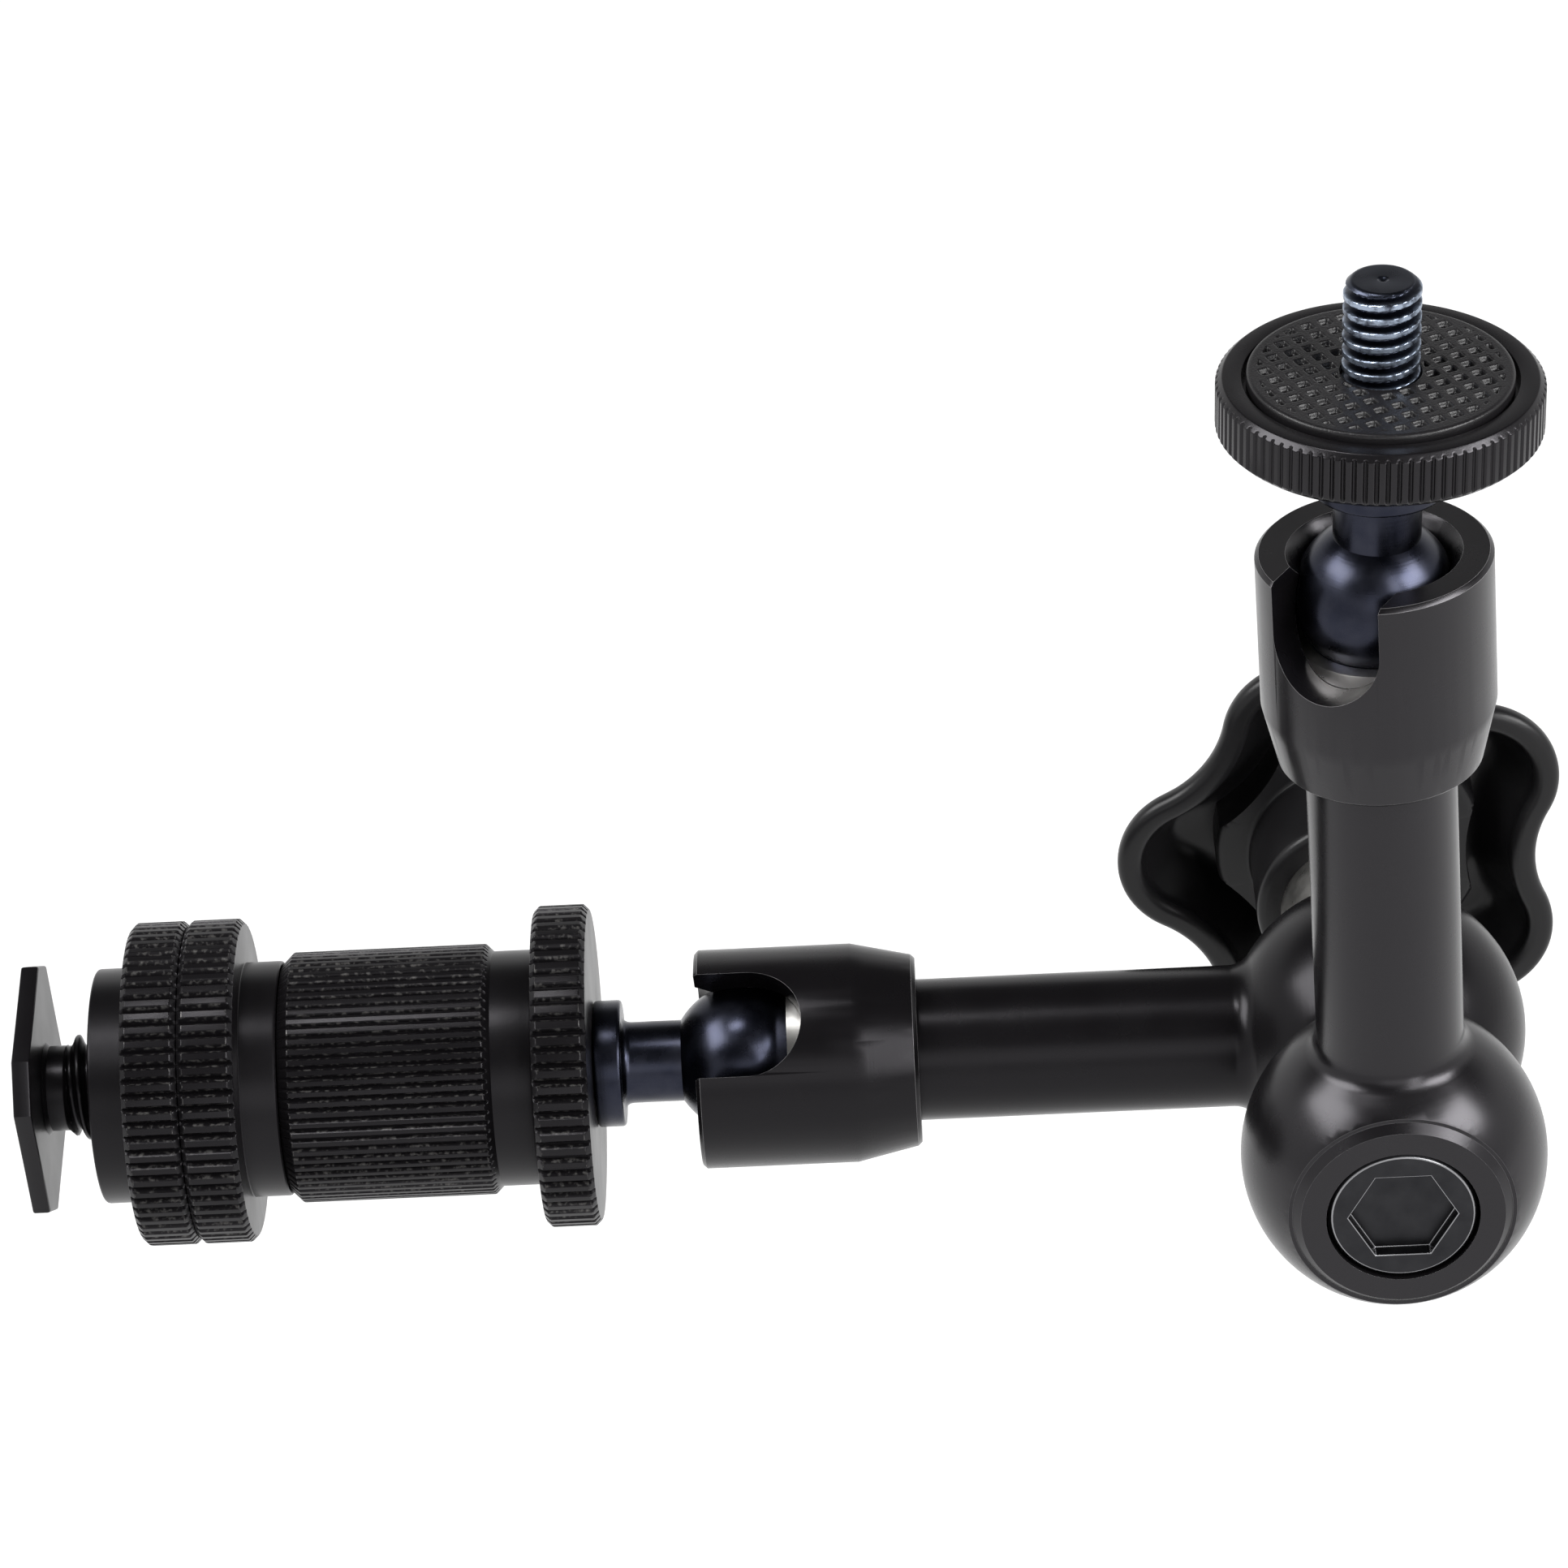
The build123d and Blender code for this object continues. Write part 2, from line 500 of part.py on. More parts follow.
def lock_knob():
    """The lobed hand knob: a cup that opens toward the elbow, with a hub for the threaded insert."""
    slope = tan(radians(KNOB_LEAN))
    edge_z = KNOB_DEPTH - KNOB_BACK_EDGE
    edge_inset = (edge_z - KNOB_STRAIGHT) * slope
    floor_z = KNOB_DEPTH - KNOB_FLOOR
    floor_inset = KNOB_WALL + (floor_z - KNOB_STRAIGHT) * slope
    body = extrude(lobed_face(0), amount=KNOB_STRAIGHT)
    body += lobed_layer(0, KNOB_STRAIGHT, edge_inset, edge_z)
    body += lobed_layer(edge_inset, edge_z, edge_inset + 2 * KNOB_BACK_EDGE, KNOB_DEPTH)
    hollow = Pos(0, 0, -OVERLAP) * extrude(lobed_face(KNOB_WALL), amount=KNOB_STRAIGHT + OVERLAP)
    hollow += lobed_layer(KNOB_WALL, KNOB_STRAIGHT, floor_inset, floor_z)
    shell = body - hollow
    shell = fillet(shell.edges().group_by(Axis.Z)[0], KNOB_RIM_ROUND)
    hub = cylinder(KNOB_HUB_RADIUS, -KNOB_HUB_LEAD, KNOB_DEPTH - KNOB_FLOOR / 2)
    hub = chamfer(hub.edges().group_by(Axis.Z)[0], KNOB_RIM_ROUND)
    boss = cylinder(KNOB_BOSS_RADIUS, KNOB_BOSS_SINK, KNOB_DEPTH - KNOB_FLOOR / 2)
    boss = fillet(boss.edges().group_by(Axis.Z)[0], KNOB_RIM_ROUND)
    insert_hole = cylinder(INSERT_RADIUS, -KNOB_HUB_LEAD - OVERLAP, KNOB_DEPTH + OVERLAP)
    place = Location(Plane(origin=(elbow_x, rim_y, 0), x_dir=(1, 0, 0), z_dir=(0, 1, 0)))
    return place * Rot(0, 0, KNOB_TURN) * (shell + boss + hub - insert_hole)


def knob_insert():
    """The steel insert of the knob: a collar toward the elbow and a sleeve tapped for the bolt."""
    collar_start = BULB_OUTER_FLAT + WEDGE_TAIL + THRUST_WASHER_THICKNESS + FACE_GAP
    sleeve_start = rim_y - KNOB_HUB_LEAD
    collar = ring_on_elbow(INSERT_COLLAR_RADIUS, BOLT_RADIUS + RUN_FIT, collar_start, sleeve_start)
    sleeve = ring_on_elbow(INSERT_RADIUS, BOLT_RADIUS + RUN_FIT, sleeve_start, rim_y + KNOB_DEPTH)
    return collar + sleeve


def platform_disc():
    """The knurled disc under the camera, recessed for its pad, with the ball's centre at the origin."""
    disc = knurled(DISC_A_RADIUS, disc_a_bottom, DISC_A_TOP, DISC_A_FLUTES, FLUTE_DEPTH_DISC)
    recess = cylinder(PAD_RADIUS + PAD_EDGE_GAP, DISC_A_TOP - PAD_THICKNESS + PAD_PROUD, DISC_A_TOP + OVERLAP)
    bore = cylinder(CAMERA_THREAD_RADIUS + RUN_FIT, disc_a_bottom - OVERLAP, DISC_A_TOP + OVERLAP)
    return disc - recess - bore


def platform_pad():
    """The rubber pad in the platform's recess, with a clear hole round the screw."""
    bottom = DISC_A_TOP - PAD_THICKNESS + PAD_PROUD
    pad = cylinder(PAD_RADIUS, bottom, bottom + PAD_THICKNESS)
    pad = chamfer(pad.edges().group_by(Axis.Z)[-1], PAD_PROUD / 2)
    hole_radius = CAMERA_THREAD_RADIUS + PAD_HOLE_GAP
    return pad - cylinder(hole_radius, bottom - OVERLAP, bottom + PAD_THICKNESS + OVERLAP)


def lock_disc():
    """The thin knurled disc that locks the adapter on arm B's ball stud."""
    start = flange_face + FACE_GAP
    end = start + DISC_B_THICKNESS
    disc = knurled(DISC_B_RADIUS, start, end, DISC_B_FLUTES, FLUTE_DEPTH_RING)
    return disc - cylinder(CAMERA_THREAD_RADIUS + RUN_FIT, start - OVERLAP, end + OVERLAP)


def build():
    """Every piece in its place, by name."""
    parts = {}
    parts["shoe_foot"] = shoe_foot()
    parts["lock_nut_front"] = lock_nut(nut_front_x, ring_front_x + OVERLAP, ring_front_x)
    parts["lock_nut_rear"] = lock_nut(hub_rear_x - OVERLAP, hub_rear_x + NUT_HUB_LENGTH, ring_rear_x)
    parts["adapter_barrel"] = adapter_barrel()
    parts["lock_disc"] = BALL_B * lock_disc()
    parts["ball_stud_b"] = BALL_B * ball_stud()
    parts["ball_stud_a"] = STUD_A * ball_stud()
    parts["platform_disc"] = STUD_A * platform_disc()
    parts["platform_pad"] = STUD_A * platform_pad()
    for side, arm_place, ball_place, turn in (
        ("a", ARM_A, BALL_A, SLOT_TURN_A),
        ("b", ARM_B, BALL_B, SLOT_TURN_B),
    ):
        parts[f"arm_{side}"] = arm_place * arm()
        parts[f"socket_{side}"] = ball_place * socket(turn)
        parts[f"seat_cup_{side}"] = ball_place * seat_cup()
        parts[f"push_rod_{side}"] = arm_place * push_rod()
    bolt, under_head = axle_bolt()
    parts["axle_bolt"] = bolt
    parts["wedge_a"] = on_elbow_axis(-AXIS_SPACING, 1) * wedge(under_head + AXIS_SPACING)
    parts["wedge_b"] = on_elbow_axis(0, -1) * wedge(-BULB_OUTER_FLAT - WEDGE_TAIL)
    parts["release_spring"] = release_spring(-AXIS_SPACING + WEDGE_NOSE, -WEDGE_NOSE)
    washer_start = -AXIS_SPACING + bulb_inner_flat + FACE_GAP
    parts["elbow_washer"] = ring_on_elbow(ELBOW_WASHER_RADIUS, cross_bore_radius, washer_start,
                                          washer_start + ELBOW_WASHER)
    tail = BULB_OUTER_FLAT + WEDGE_TAIL
    parts["thrust_washer"] = ring_on_elbow(THRUST_WASHER_RADIUS, BOLT_RADIUS + RUN_FIT, tail,
                                           tail + THRUST_WASHER_THICKNESS)
    parts["knob_insert"] = knob_insert()
    parts["lock_knob"] = lock_knob()
    return parts


os.makedirs("parts", exist_ok=True)
for name, shape in build().items():
    shape.label = name
    export_step(shape, f"parts/{name}.step")
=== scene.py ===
"""Looks of the articulating friction arm: its turned, knurled and threaded surfaces, finishes, light and camera.

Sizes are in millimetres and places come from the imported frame. Every new surface is a grid of points worked out
with numpy from a profile and an angle.
"""

import json
import logging
import math
from dataclasses import dataclass
from enum import Enum

import bmesh
import bpy
import numpy as np
from mathutils import Matrix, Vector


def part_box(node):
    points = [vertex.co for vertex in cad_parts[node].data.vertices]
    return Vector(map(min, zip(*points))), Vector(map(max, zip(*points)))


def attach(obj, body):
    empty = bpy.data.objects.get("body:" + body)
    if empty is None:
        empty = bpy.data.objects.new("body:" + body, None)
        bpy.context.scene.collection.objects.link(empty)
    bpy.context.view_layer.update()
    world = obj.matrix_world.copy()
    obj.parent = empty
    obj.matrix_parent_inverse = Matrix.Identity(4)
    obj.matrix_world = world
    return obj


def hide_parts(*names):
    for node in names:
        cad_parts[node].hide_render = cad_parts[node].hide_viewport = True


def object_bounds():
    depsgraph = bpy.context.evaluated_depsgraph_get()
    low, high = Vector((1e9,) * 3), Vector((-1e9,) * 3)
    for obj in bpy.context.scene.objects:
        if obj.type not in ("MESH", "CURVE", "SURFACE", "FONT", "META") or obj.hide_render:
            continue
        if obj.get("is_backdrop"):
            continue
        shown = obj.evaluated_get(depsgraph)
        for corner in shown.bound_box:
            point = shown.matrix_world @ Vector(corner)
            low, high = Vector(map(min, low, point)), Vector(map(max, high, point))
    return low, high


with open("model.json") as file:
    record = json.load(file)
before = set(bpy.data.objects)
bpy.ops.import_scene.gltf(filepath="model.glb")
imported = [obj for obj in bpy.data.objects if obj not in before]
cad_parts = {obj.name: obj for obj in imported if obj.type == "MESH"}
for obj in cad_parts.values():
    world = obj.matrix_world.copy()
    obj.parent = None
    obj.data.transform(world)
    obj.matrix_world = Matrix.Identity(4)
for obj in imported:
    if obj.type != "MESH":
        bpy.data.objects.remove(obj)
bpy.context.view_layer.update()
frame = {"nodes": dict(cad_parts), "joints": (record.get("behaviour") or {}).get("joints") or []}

log = logging.getLogger("friction_arm")

MM = 0.001
FULL_TURN = 2 * math.pi
MIX_FACTOR, MIX_LOW, MIX_HIGH, MIX_RESULT = 0, 6, 7, 2   # a Mix node's colour sockets
RUB_AND_GLINT = "rub_and_glint"                                 # marks edges lighter: rubbed wear and painted glints
RUBBED_AND_GLINTING = (0.16, 0.155, 0.15, 1.0)           # anodising rubbed thin, and a painted glint on the edges
CREST_WEAR_AND_HIGHLIGHT = (0.34, 0.40, 0.50, 1.0)      # steel rubbed bright, and a painted highlight on crests
DYE = (0.97, 0.94, 1.0, 1.0)                # the faint violet cast of black anodising's sheen
MERGE_WITHIN = 0.001                        # millimetres within which a copied mesh's corners are one
FLAT_WITHIN = 0.4                           # degrees within which two of its faces are one


# Places

@dataclass(frozen=True)
class Axes:
    """A local frame: an origin in millimetres and three unit directions as the columns of a matrix."""

    origin: np.ndarray
    matrix: np.ndarray

    def place(self, points: np.ndarray) -> np.ndarray:
        """Carries local points in millimetres to the part's frame in metres."""
        return (points @ self.matrix.T + self.origin) * MM


def axes_along(origin_m: tuple, axis: tuple, hint: tuple) -> Axes:
    """A local frame whose third axis is given.

    Args:
        origin_m: the origin in metres.
        axis: the direction of the third axis.
        hint: a direction near the first axis.

    Returns:
        The frame, with its first axis made square to the third.
    """
    third = np.array(axis, float)
    third /= np.linalg.norm(third)
    first = np.array(hint, float)
    first -= third * (first @ third)
    first /= np.linalg.norm(first)
    return Axes(np.array(origin_m, float) / MM, np.stack([first, np.cross(third, first), third], axis=1))


def joint(name: str) -> dict:
    """The record's joint of that name."""
    return next(j for j in frame["joints"] if j["name"] == name)


# Meshes from grids

def rounded(corners: list[tuple[float, float, float]], closed: bool, steps: int = 4) -> np.ndarray:
    """A profile with rounded corners.

    Each corner gives way to a quadratic curve between the two points that lie its rounding away from it:
    (1-t)^2 * before + 2t(1-t) * corner + t^2 * after.

    Args:
        corners: (radius, height, rounding) of each corner, in order.
        closed: whether the last corner joins the first.
        steps: pieces of each rounding.

    Returns:
        The (radius, height) points as an array of two columns.
    """
    points = np.array([c[:2] for c in corners], float)
    rounds = np.array([c[2] for c in corners], float)
    before = np.roll(points, 1, axis=0)
    after = np.roll(points, -1, axis=0)
    t = np.linspace(0, 1, steps + 1)[:, None]
    result = []
    for index, point in enumerate(points):
        at_end = not closed and index in (0, len(points) - 1)
        if rounds[index] == 0 or at_end:
            result.append(point[None])
            continue
        back = before[index] - point
        ahead = after[index] - point
        start = point + back / np.linalg.norm(back) * rounds[index]
        end = point + ahead / np.linalg.norm(ahead) * rounds[index]
        result.append((1 - t) ** 2 * start + 2 * t * (1 - t) * point + t ** 2 * end)
    return np.concatenate(result)


def revolve(radius: np.ndarray, height: np.ndarray, angles: np.ndarray) -> np.ndarray:
    """The grid (radius cos a, radius sin a, height) over stations and angles.

    Args:
        radius: one row per station, one column per angle, or one column in all.
        height: the same for the height.
        angles: the angles in radians.

    Returns:
        An array of stations x angles x 3.
    """
    shape = (len(radius), len(angles))
    r = np.broadcast_to(radius.reshape(len(radius), -1), shape)
    z = np.broadcast_to(height.reshape(len(height), -1), shape)
    return np.stack([r * np.cos(angles), r * np.sin(angles), z], axis=2)


def turn_steps(count: int) -> np.ndarray:
    """That many angles, evenly round a full turn."""
    return np.arange(count) * FULL_TURN / count


def grid_faces(rows: int, columns: int, closed: bool) -> np.ndarray:
    """The quads of a grid that wraps round its columns, and round its rows too if it is closed.

    Args:
        rows: the number of stations.
        columns: the number of angles.
        closed: whether the last station joins the first.

    Returns:
        An array of faces x 4 vertex numbers.
    """
    last = rows if closed else rows - 1
    row = np.arange(last)[:, None]
    column = np.arange(columns)[None]
    row_next = (row + 1) % rows
    column_next = (column + 1) % columns
    corners = [row * columns + column, row * columns + column_next,
               row_next * columns + column_next, row_next * columns + column]
    return np.stack([np.broadcast_to(c, (last, columns)) for c in corners], axis=2).reshape(-1, 4)


def signed_volume(vertices: np.ndarray, faces: list[np.ndarray]) -> float:
    """Six times the volume that outward faces would enclose, as the sum of their corner products.

    Args:
        vertices: the points.
        faces: groups of faces with the same number of corners.

    Returns:
        The sum, below zero where the faces point inwards.
    """
    total = 0.0
    for group in faces:
        first = vertices[group[:, 0]]
        for k in range(1, group.shape[1] - 1):
            total += np.einsum("ij,ij->i", first, np.cross(vertices[group[:, k]], vertices[group[:, k + 1]])).sum()
    return total


def skin(name: str, grid: np.ndarray, axes: Axes, closed: bool, crease: float = 35.0) -> bpy.types.Object:
    """A mesh object over a grid, with its faces outwards.

    A closed grid wraps both ways. An open one ends in a point at each end, on the grid's own axis.

    Args:
        name: the piece's name.
        grid: stations x angles x 3, in millimetres in the local frame.
        axes: the local frame.
        closed: whether the stations wrap round.
        crease: the angle in degrees above which an edge stays sharp.

    Returns:
        The new object, at the origin, with its place in its mesh.
    """
    rows, columns = grid.shape[:2]
    vertices = grid.reshape(-1, 3)
    faces = [grid_faces(rows, columns, closed)]
    if not closed:
        tips = np.stack([grid[0].mean(axis=0), grid[-1].mean(axis=0)])
        vertices = np.concatenate([vertices, tips])
        ring = np.arange(columns)
        ahead = (ring + 1) % columns
        low, high = rows * columns, rows * columns + 1
        faces.append(np.stack([ahead, ring, np.full(columns, low)], axis=1))
        top = (rows - 1) * columns
        faces.append(np.stack([ring + top, ahead + top, np.full(columns, high)], axis=1))
    if signed_volume(vertices, faces) < 0:
        faces = [group[:, ::-1] for group in faces]
    mesh = bpy.data.meshes.new(name)
    mesh.from_pydata(axes.place(vertices), [], [face for group in faces for face in group.tolist()])
    mesh.shade_smooth()
    mesh.set_sharp_from_angle(angle=math.radians(crease))
    piece = bpy.data.objects.new(name, mesh)
    bpy.context.scene.collection.objects.link(piece)
    return piece


# Finishes

class Axis(Enum):
    """The direction that a turned piece's tool marks run round."""

    ADAPTER = "adapter_spin"
    ELBOW = "elbow_turn"
    STUD_A = "platform_disc_spin"
    ARM_A = "push_rod_a_slide"
    ARM_B = "push_rod_b_slide"

    def direction(self) -> tuple:
        """The axis of the joint that carries this name."""
        return tuple(joint(self.value)["axis"])


@dataclass
class Group:
    """A shader node group under construction, with named inputs and outputs."""

    tree: bpy.types.NodeTree
    source: bpy.types.Node
    sink: bpy.types.Node

    @classmethod
    def begin(cls, name: str, inputs: dict, outputs: dict) -> "Group":
        """Starts a group.

        Args:
            name: the group's name.
            inputs: socket names with their default values.
            outputs: socket names with their socket types.

        Returns:
            The group, ready for its nodes.
        """
        tree = bpy.data.node_groups.new(name, "ShaderNodeTree")
        for label, value in inputs.items():
            kind = "NodeSocketVector" if isinstance(value, tuple) else "NodeSocketFloat"
            tree.interface.new_socket(label, in_out="INPUT", socket_type=kind).default_value = value
        for label, kind in outputs.items():
            tree.interface.new_socket(label, in_out="OUTPUT", socket_type=kind)
        return cls(tree, tree.nodes.new("NodeGroupInput"), tree.nodes.new("NodeGroupOutput"))

    def math(self, operation: str, first: object, second: object = 0.0, clamp: bool = False) -> object:
        """A Math node over two values or sockets, and its output."""
        return math_node(self.tree, operation, first, second, clamp)

    def noise(self, vector: object, scale: object, detail: float) -> object:
        """A noise node's factor over a vector."""
        return noise_node(self.tree, vector, scale, detail)


def feed(tree: bpy.types.NodeTree, socket: object, value: object) -> None:
    """Links a socket into another, or sets it where the value is plain.

    Args:
        tree: the tree that holds the socket.
        socket: the input that is fed.
        value: another socket, or a plain value.
    """
    if isinstance(value, bpy.types.NodeSocket):
        tree.links.new(value, socket)
    else:
        socket.default_value = value


def math_node(tree: bpy.types.NodeTree, operation: str, first: object, second: object,
              clamp: bool = False) -> object:
    """A Math node over two values or sockets.

    Args:
        tree: the tree that the node goes into.
        operation: the node's operation.
        first: a value or a socket.
        second: a value or a socket.
        clamp: whether the result is kept from 0 to 1.

    Returns:
        The node's output.
    """
    node = tree.nodes.new("ShaderNodeMath")
    node.operation = operation
    node.use_clamp = clamp
    feed(tree, node.inputs[0], first)
    feed(tree, node.inputs[1], second)
    return node.outputs[0]


def noise_node(tree: bpy.types.NodeTree, vector: object, scale: object, detail: float) -> object:
    """A noise node over a vector.

    Args:
        tree: the tree that the node goes into.
        vector: the socket of the point.
        scale: a value or a socket, per metre on object coordinates.
        detail: the number of finer noises added.

    Returns:
        The socket of its factor, from 0 to 1.
    """
    node = tree.nodes.new("ShaderNodeTexNoise")
    feed(tree, node.inputs["Vector"], vector)
    feed(tree, node.inputs["Scale"], scale)
    node.inputs["Detail"].default_value = detail
    return node.outputs["Fac"]


def make_grain_group() -> bpy.types.NodeTree:
    """Fine even grain with slow mottling: two noises of the point, one fine and one broad.

    Returns:
        The group, with outputs Grain and Mottle from 0 to 1.
    """
    group = Group.begin("surface grain", {"Grain size": 0.2, "Mottle size": 6.0},
                        {"Grain": "NodeSocketFloat", "Mottle": "NodeSocketFloat"})
    point = group.tree.nodes.new("ShaderNodeTexCoord").outputs["Object"]
    fine = group.math("DIVIDE", 1.0 / MM, group.source.outputs["Grain size"])
    broad = group.math("DIVIDE", 1.0 / MM, group.source.outputs["Mottle size"])
    group.tree.links.new(group.noise(point, fine, 2.0), group.sink.inputs["Grain"])
    group.tree.links.new(group.noise(point, broad, 4.0), group.sink.inputs["Mottle"])
    return group.tree


def make_turning_group() -> bpy.types.NodeTree:
    """Tool marks of a lathe: noise of the distance along the piece's axis, drawn out round it.

    Returns:
        The group, with the output Marks from 0 to 1.
    """
    group = Group.begin("turning marks", {"Axis": (0.0, 0.0, 1.0), "Spacing": 0.12},
                        {"Marks": "NodeSocketFloat"})
    tree = group.tree
    point = tree.nodes.new("ShaderNodeTexCoord").outputs["Object"]
    along = tree.nodes.new("ShaderNodeVectorMath")
    along.operation = "DOT_PRODUCT"
    tree.links.new(point, along.inputs[0])
    tree.links.new(group.source.outputs["Axis"], along.inputs[1])
    depth = group.math("MULTIPLY", along.outputs["Value"], group.math("DIVIDE", 1.0 / MM,
                                                                    group.source.outputs["Spacing"]))
    slow = tree.nodes.new("ShaderNodeVectorMath")
    slow.operation = "SCALE"
    tree.links.new(point, slow.inputs[0])
    slow.inputs["Scale"].default_value = 60.0
    joined = tree.nodes.new("ShaderNodeVectorMath")
    joined.operation = "ADD"
    spread = tree.nodes.new("ShaderNodeCombineXYZ")
    tree.links.new(depth, spread.inputs["X"])
    tree.links.new(slow.outputs[0], joined.inputs[0])
    tree.links.new(spread.outputs[0], joined.inputs[1])
    tree.links.new(group.noise(joined.outputs[0], 1.0, 1.0), group.sink.inputs["Marks"])
    return tree


def make_wear_and_glint_group() -> bpy.types.NodeTree:
    """Lighter edges, rubbed wear and painted glints in one: a mask of the edges, broken up by noise.

    Returns:
        The group, with the output Wear from 0 to 1.
    """
    group = Group.begin("edge wear", {"Edge": 0.0, "Break size": 0.6, "Least": 0.50, "Most": 0.74},
                        {"Wear": "NodeSocketFloat"})
    tree = group.tree
    point = tree.nodes.new("ShaderNodeTexCoord").outputs["Object"]
    scale = group.math("DIVIDE", 1.0 / MM, group.source.outputs["Break size"])
    noise = group.math("SUBTRACT", group.noise(point, scale, 3.0), group.source.outputs["Least"])
    span = group.math("SUBTRACT", group.source.outputs["Most"], group.source.outputs["Least"])
    broken = group.math("DIVIDE", noise, span, clamp=True)
    tree.links.new(group.math("MULTIPLY", group.source.outputs["Edge"], broken), group.sink.inputs["Wear"])
    return tree


GRAIN = make_grain_group()
TURNING = make_turning_group()
WEAR_AND_GLINT = make_wear_and_glint_group()


@dataclass
class Shader:
    """One material under construction: its tree and its Principled shader."""

    material: bpy.types.Material
    tree: bpy.types.NodeTree
    surface: bpy.types.Node

    @classmethod
    def begin(cls, name: str) -> "Shader":
        """Starts a material with a Principled shader.

        Args:
            name: the material's name.

        Returns:
            The shader, ready for its nodes.
        """
        material = bpy.data.materials.new(name)
        material.use_nodes = True
        tree = material.node_tree
        return cls(material, tree, tree.nodes["Principled BSDF"])

    def group(self, source: bpy.types.NodeTree, **values: object) -> bpy.types.Node:
        """Places a node group.

        Args:
            source: the group.
            values: its inputs, whose names have underscores for spaces.

        Returns:
            The group's node.
        """
        node = self.tree.nodes.new("ShaderNodeGroup")
        node.node_tree = source
        for label, value in values.items():
            node.inputs[label.replace("_", " ").capitalize()].default_value = value
        return node

    def wear_and_glint(self, break_size: float, least: float = 0.50, span: float = 0.24) -> object:
        """The lighter share of the surface, rubbed wear and painted glint, from the mask that the piece's mesh
        carries.

        Args:
            break_size: the size in millimetres of the patches that break the lighter share up.
            least: the noise below which nothing is lightened.
            span: how much more noise makes it fully lightened.

        Returns:
            The socket of the lighter share, from 0 to 1.
        """
        mask = self.tree.nodes.new("ShaderNodeAttribute")
        mask.attribute_name = RUB_AND_GLINT
        node = self.group(WEAR_AND_GLINT, break_size=break_size, least=least, most=least + span)
        self.tree.links.new(mask.outputs["Fac"], node.inputs["Edge"])
        return node.outputs["Wear"]

    def mix(self, factor: object, low: object, high: object) -> object:
        """A colour between two.

        Args:
            factor: a value or a socket, 0 for the first colour and 1 for the second.
            low: the first colour or its socket.
            high: the second colour or its socket.

        Returns:
            The colour's socket.
        """
        node = self.tree.nodes.new("ShaderNodeMix")
        node.data_type = "RGBA"
        feed(self.tree, node.inputs[MIX_FACTOR], factor)
        feed(self.tree, node.inputs[MIX_LOW], low)
        feed(self.tree, node.inputs[MIX_HIGH], high)
        return node.outputs[MIX_RESULT]

    def spread(self, value: object, low: float, high: float) -> object:
        """A value from 0 to 1 spread between two others.

        Args:
            value: a value or a socket.
            low: the result at 0.
            high: the result at 1.

        Returns:
            The socket of the result.
        """
        node = self.tree.nodes.new("ShaderNodeMapRange")
        feed(self.tree, node.inputs["Value"], value)
        node.inputs["To Min"].default_value = low
        node.inputs["To Max"].default_value = high
        return node.outputs["Result"]

    def bump(self, height: object, depth_mm: float, under: object = None) -> object:
        """A bump, over another one if given.

        Args:
            height: the socket of the height, from 0 to 1.
            depth_mm: the depth in millimetres.
            under: the normal of the bump underneath.

        Returns:
            The socket of the normal.
        """
        node = self.tree.nodes.new("ShaderNodeBump")
        node.inputs["Distance"].default_value = depth_mm * MM
        feed(self.tree, node.inputs["Height"], height)
        if under is not None:
            self.tree.links.new(under, node.inputs["Normal"])
        return node.outputs["Normal"]

    def set(self, **values: object) -> None:
        """Feeds the Principled shader's sockets, whose names have underscores for spaces."""
        for label, value in values.items():
            feed(self.tree, self.surface.inputs[label.replace("_", " ")], value)


@dataclass(frozen=True)
class Anodised:
    """Satin black anodised aluminium, turned, with faint tool marks and lighter edges: rubbed wear and painted glints.
    """

    name: str
    axis: Axis | None = None
    colour: tuple = (0.0030, 0.0027, 0.0031, 1.0)
    worn_and_glint: tuple | None = None
    roughness: float = 0.26
    specular: float = 0.24
    mottle: float = 1.3
    grain_depth: float = 0.0035
    marks_spacing: float = 0.14
    marks_depth: float = 0.003

    def material(self) -> bpy.types.Material:
        """Builds the material.

        Returns:
            The material.
        """
        shader = Shader.begin(self.name)
        grain = shader.group(GRAIN, grain_size=0.11, mottle_size=5.0)
        lighter = tuple(c * self.mottle for c in self.colour[:3]) + (1.0,)
        colour = shader.mix(grain.outputs["Mottle"], self.colour, lighter)
        if self.worn_and_glint is not None:
            # edges lighter by the mask: rubbed wear, and painted glints along the knurls
            wear_and_glint = shader.wear_and_glint(0.45)
            colour = shader.mix(wear_and_glint, colour, self.worn_and_glint)
            shader.set(Metallic=wear_and_glint)
        rough = shader.spread(grain.outputs["Mottle"], self.roughness - 0.05, self.roughness + 0.06)
        normal = shader.bump(grain.outputs["Grain"], self.grain_depth)
        if self.axis is not None:
            marks = shader.group(TURNING, spacing=self.marks_spacing)
            marks.inputs["Axis"].default_value = self.axis.direction()
            normal = shader.bump(marks.outputs["Marks"], self.marks_depth, normal)
        shader.set(Base_Color=colour, Roughness=rough, Normal=normal)
        shader.set(Specular_IOR_Level=self.specular, Specular_Tint=DYE)
        return shader.material


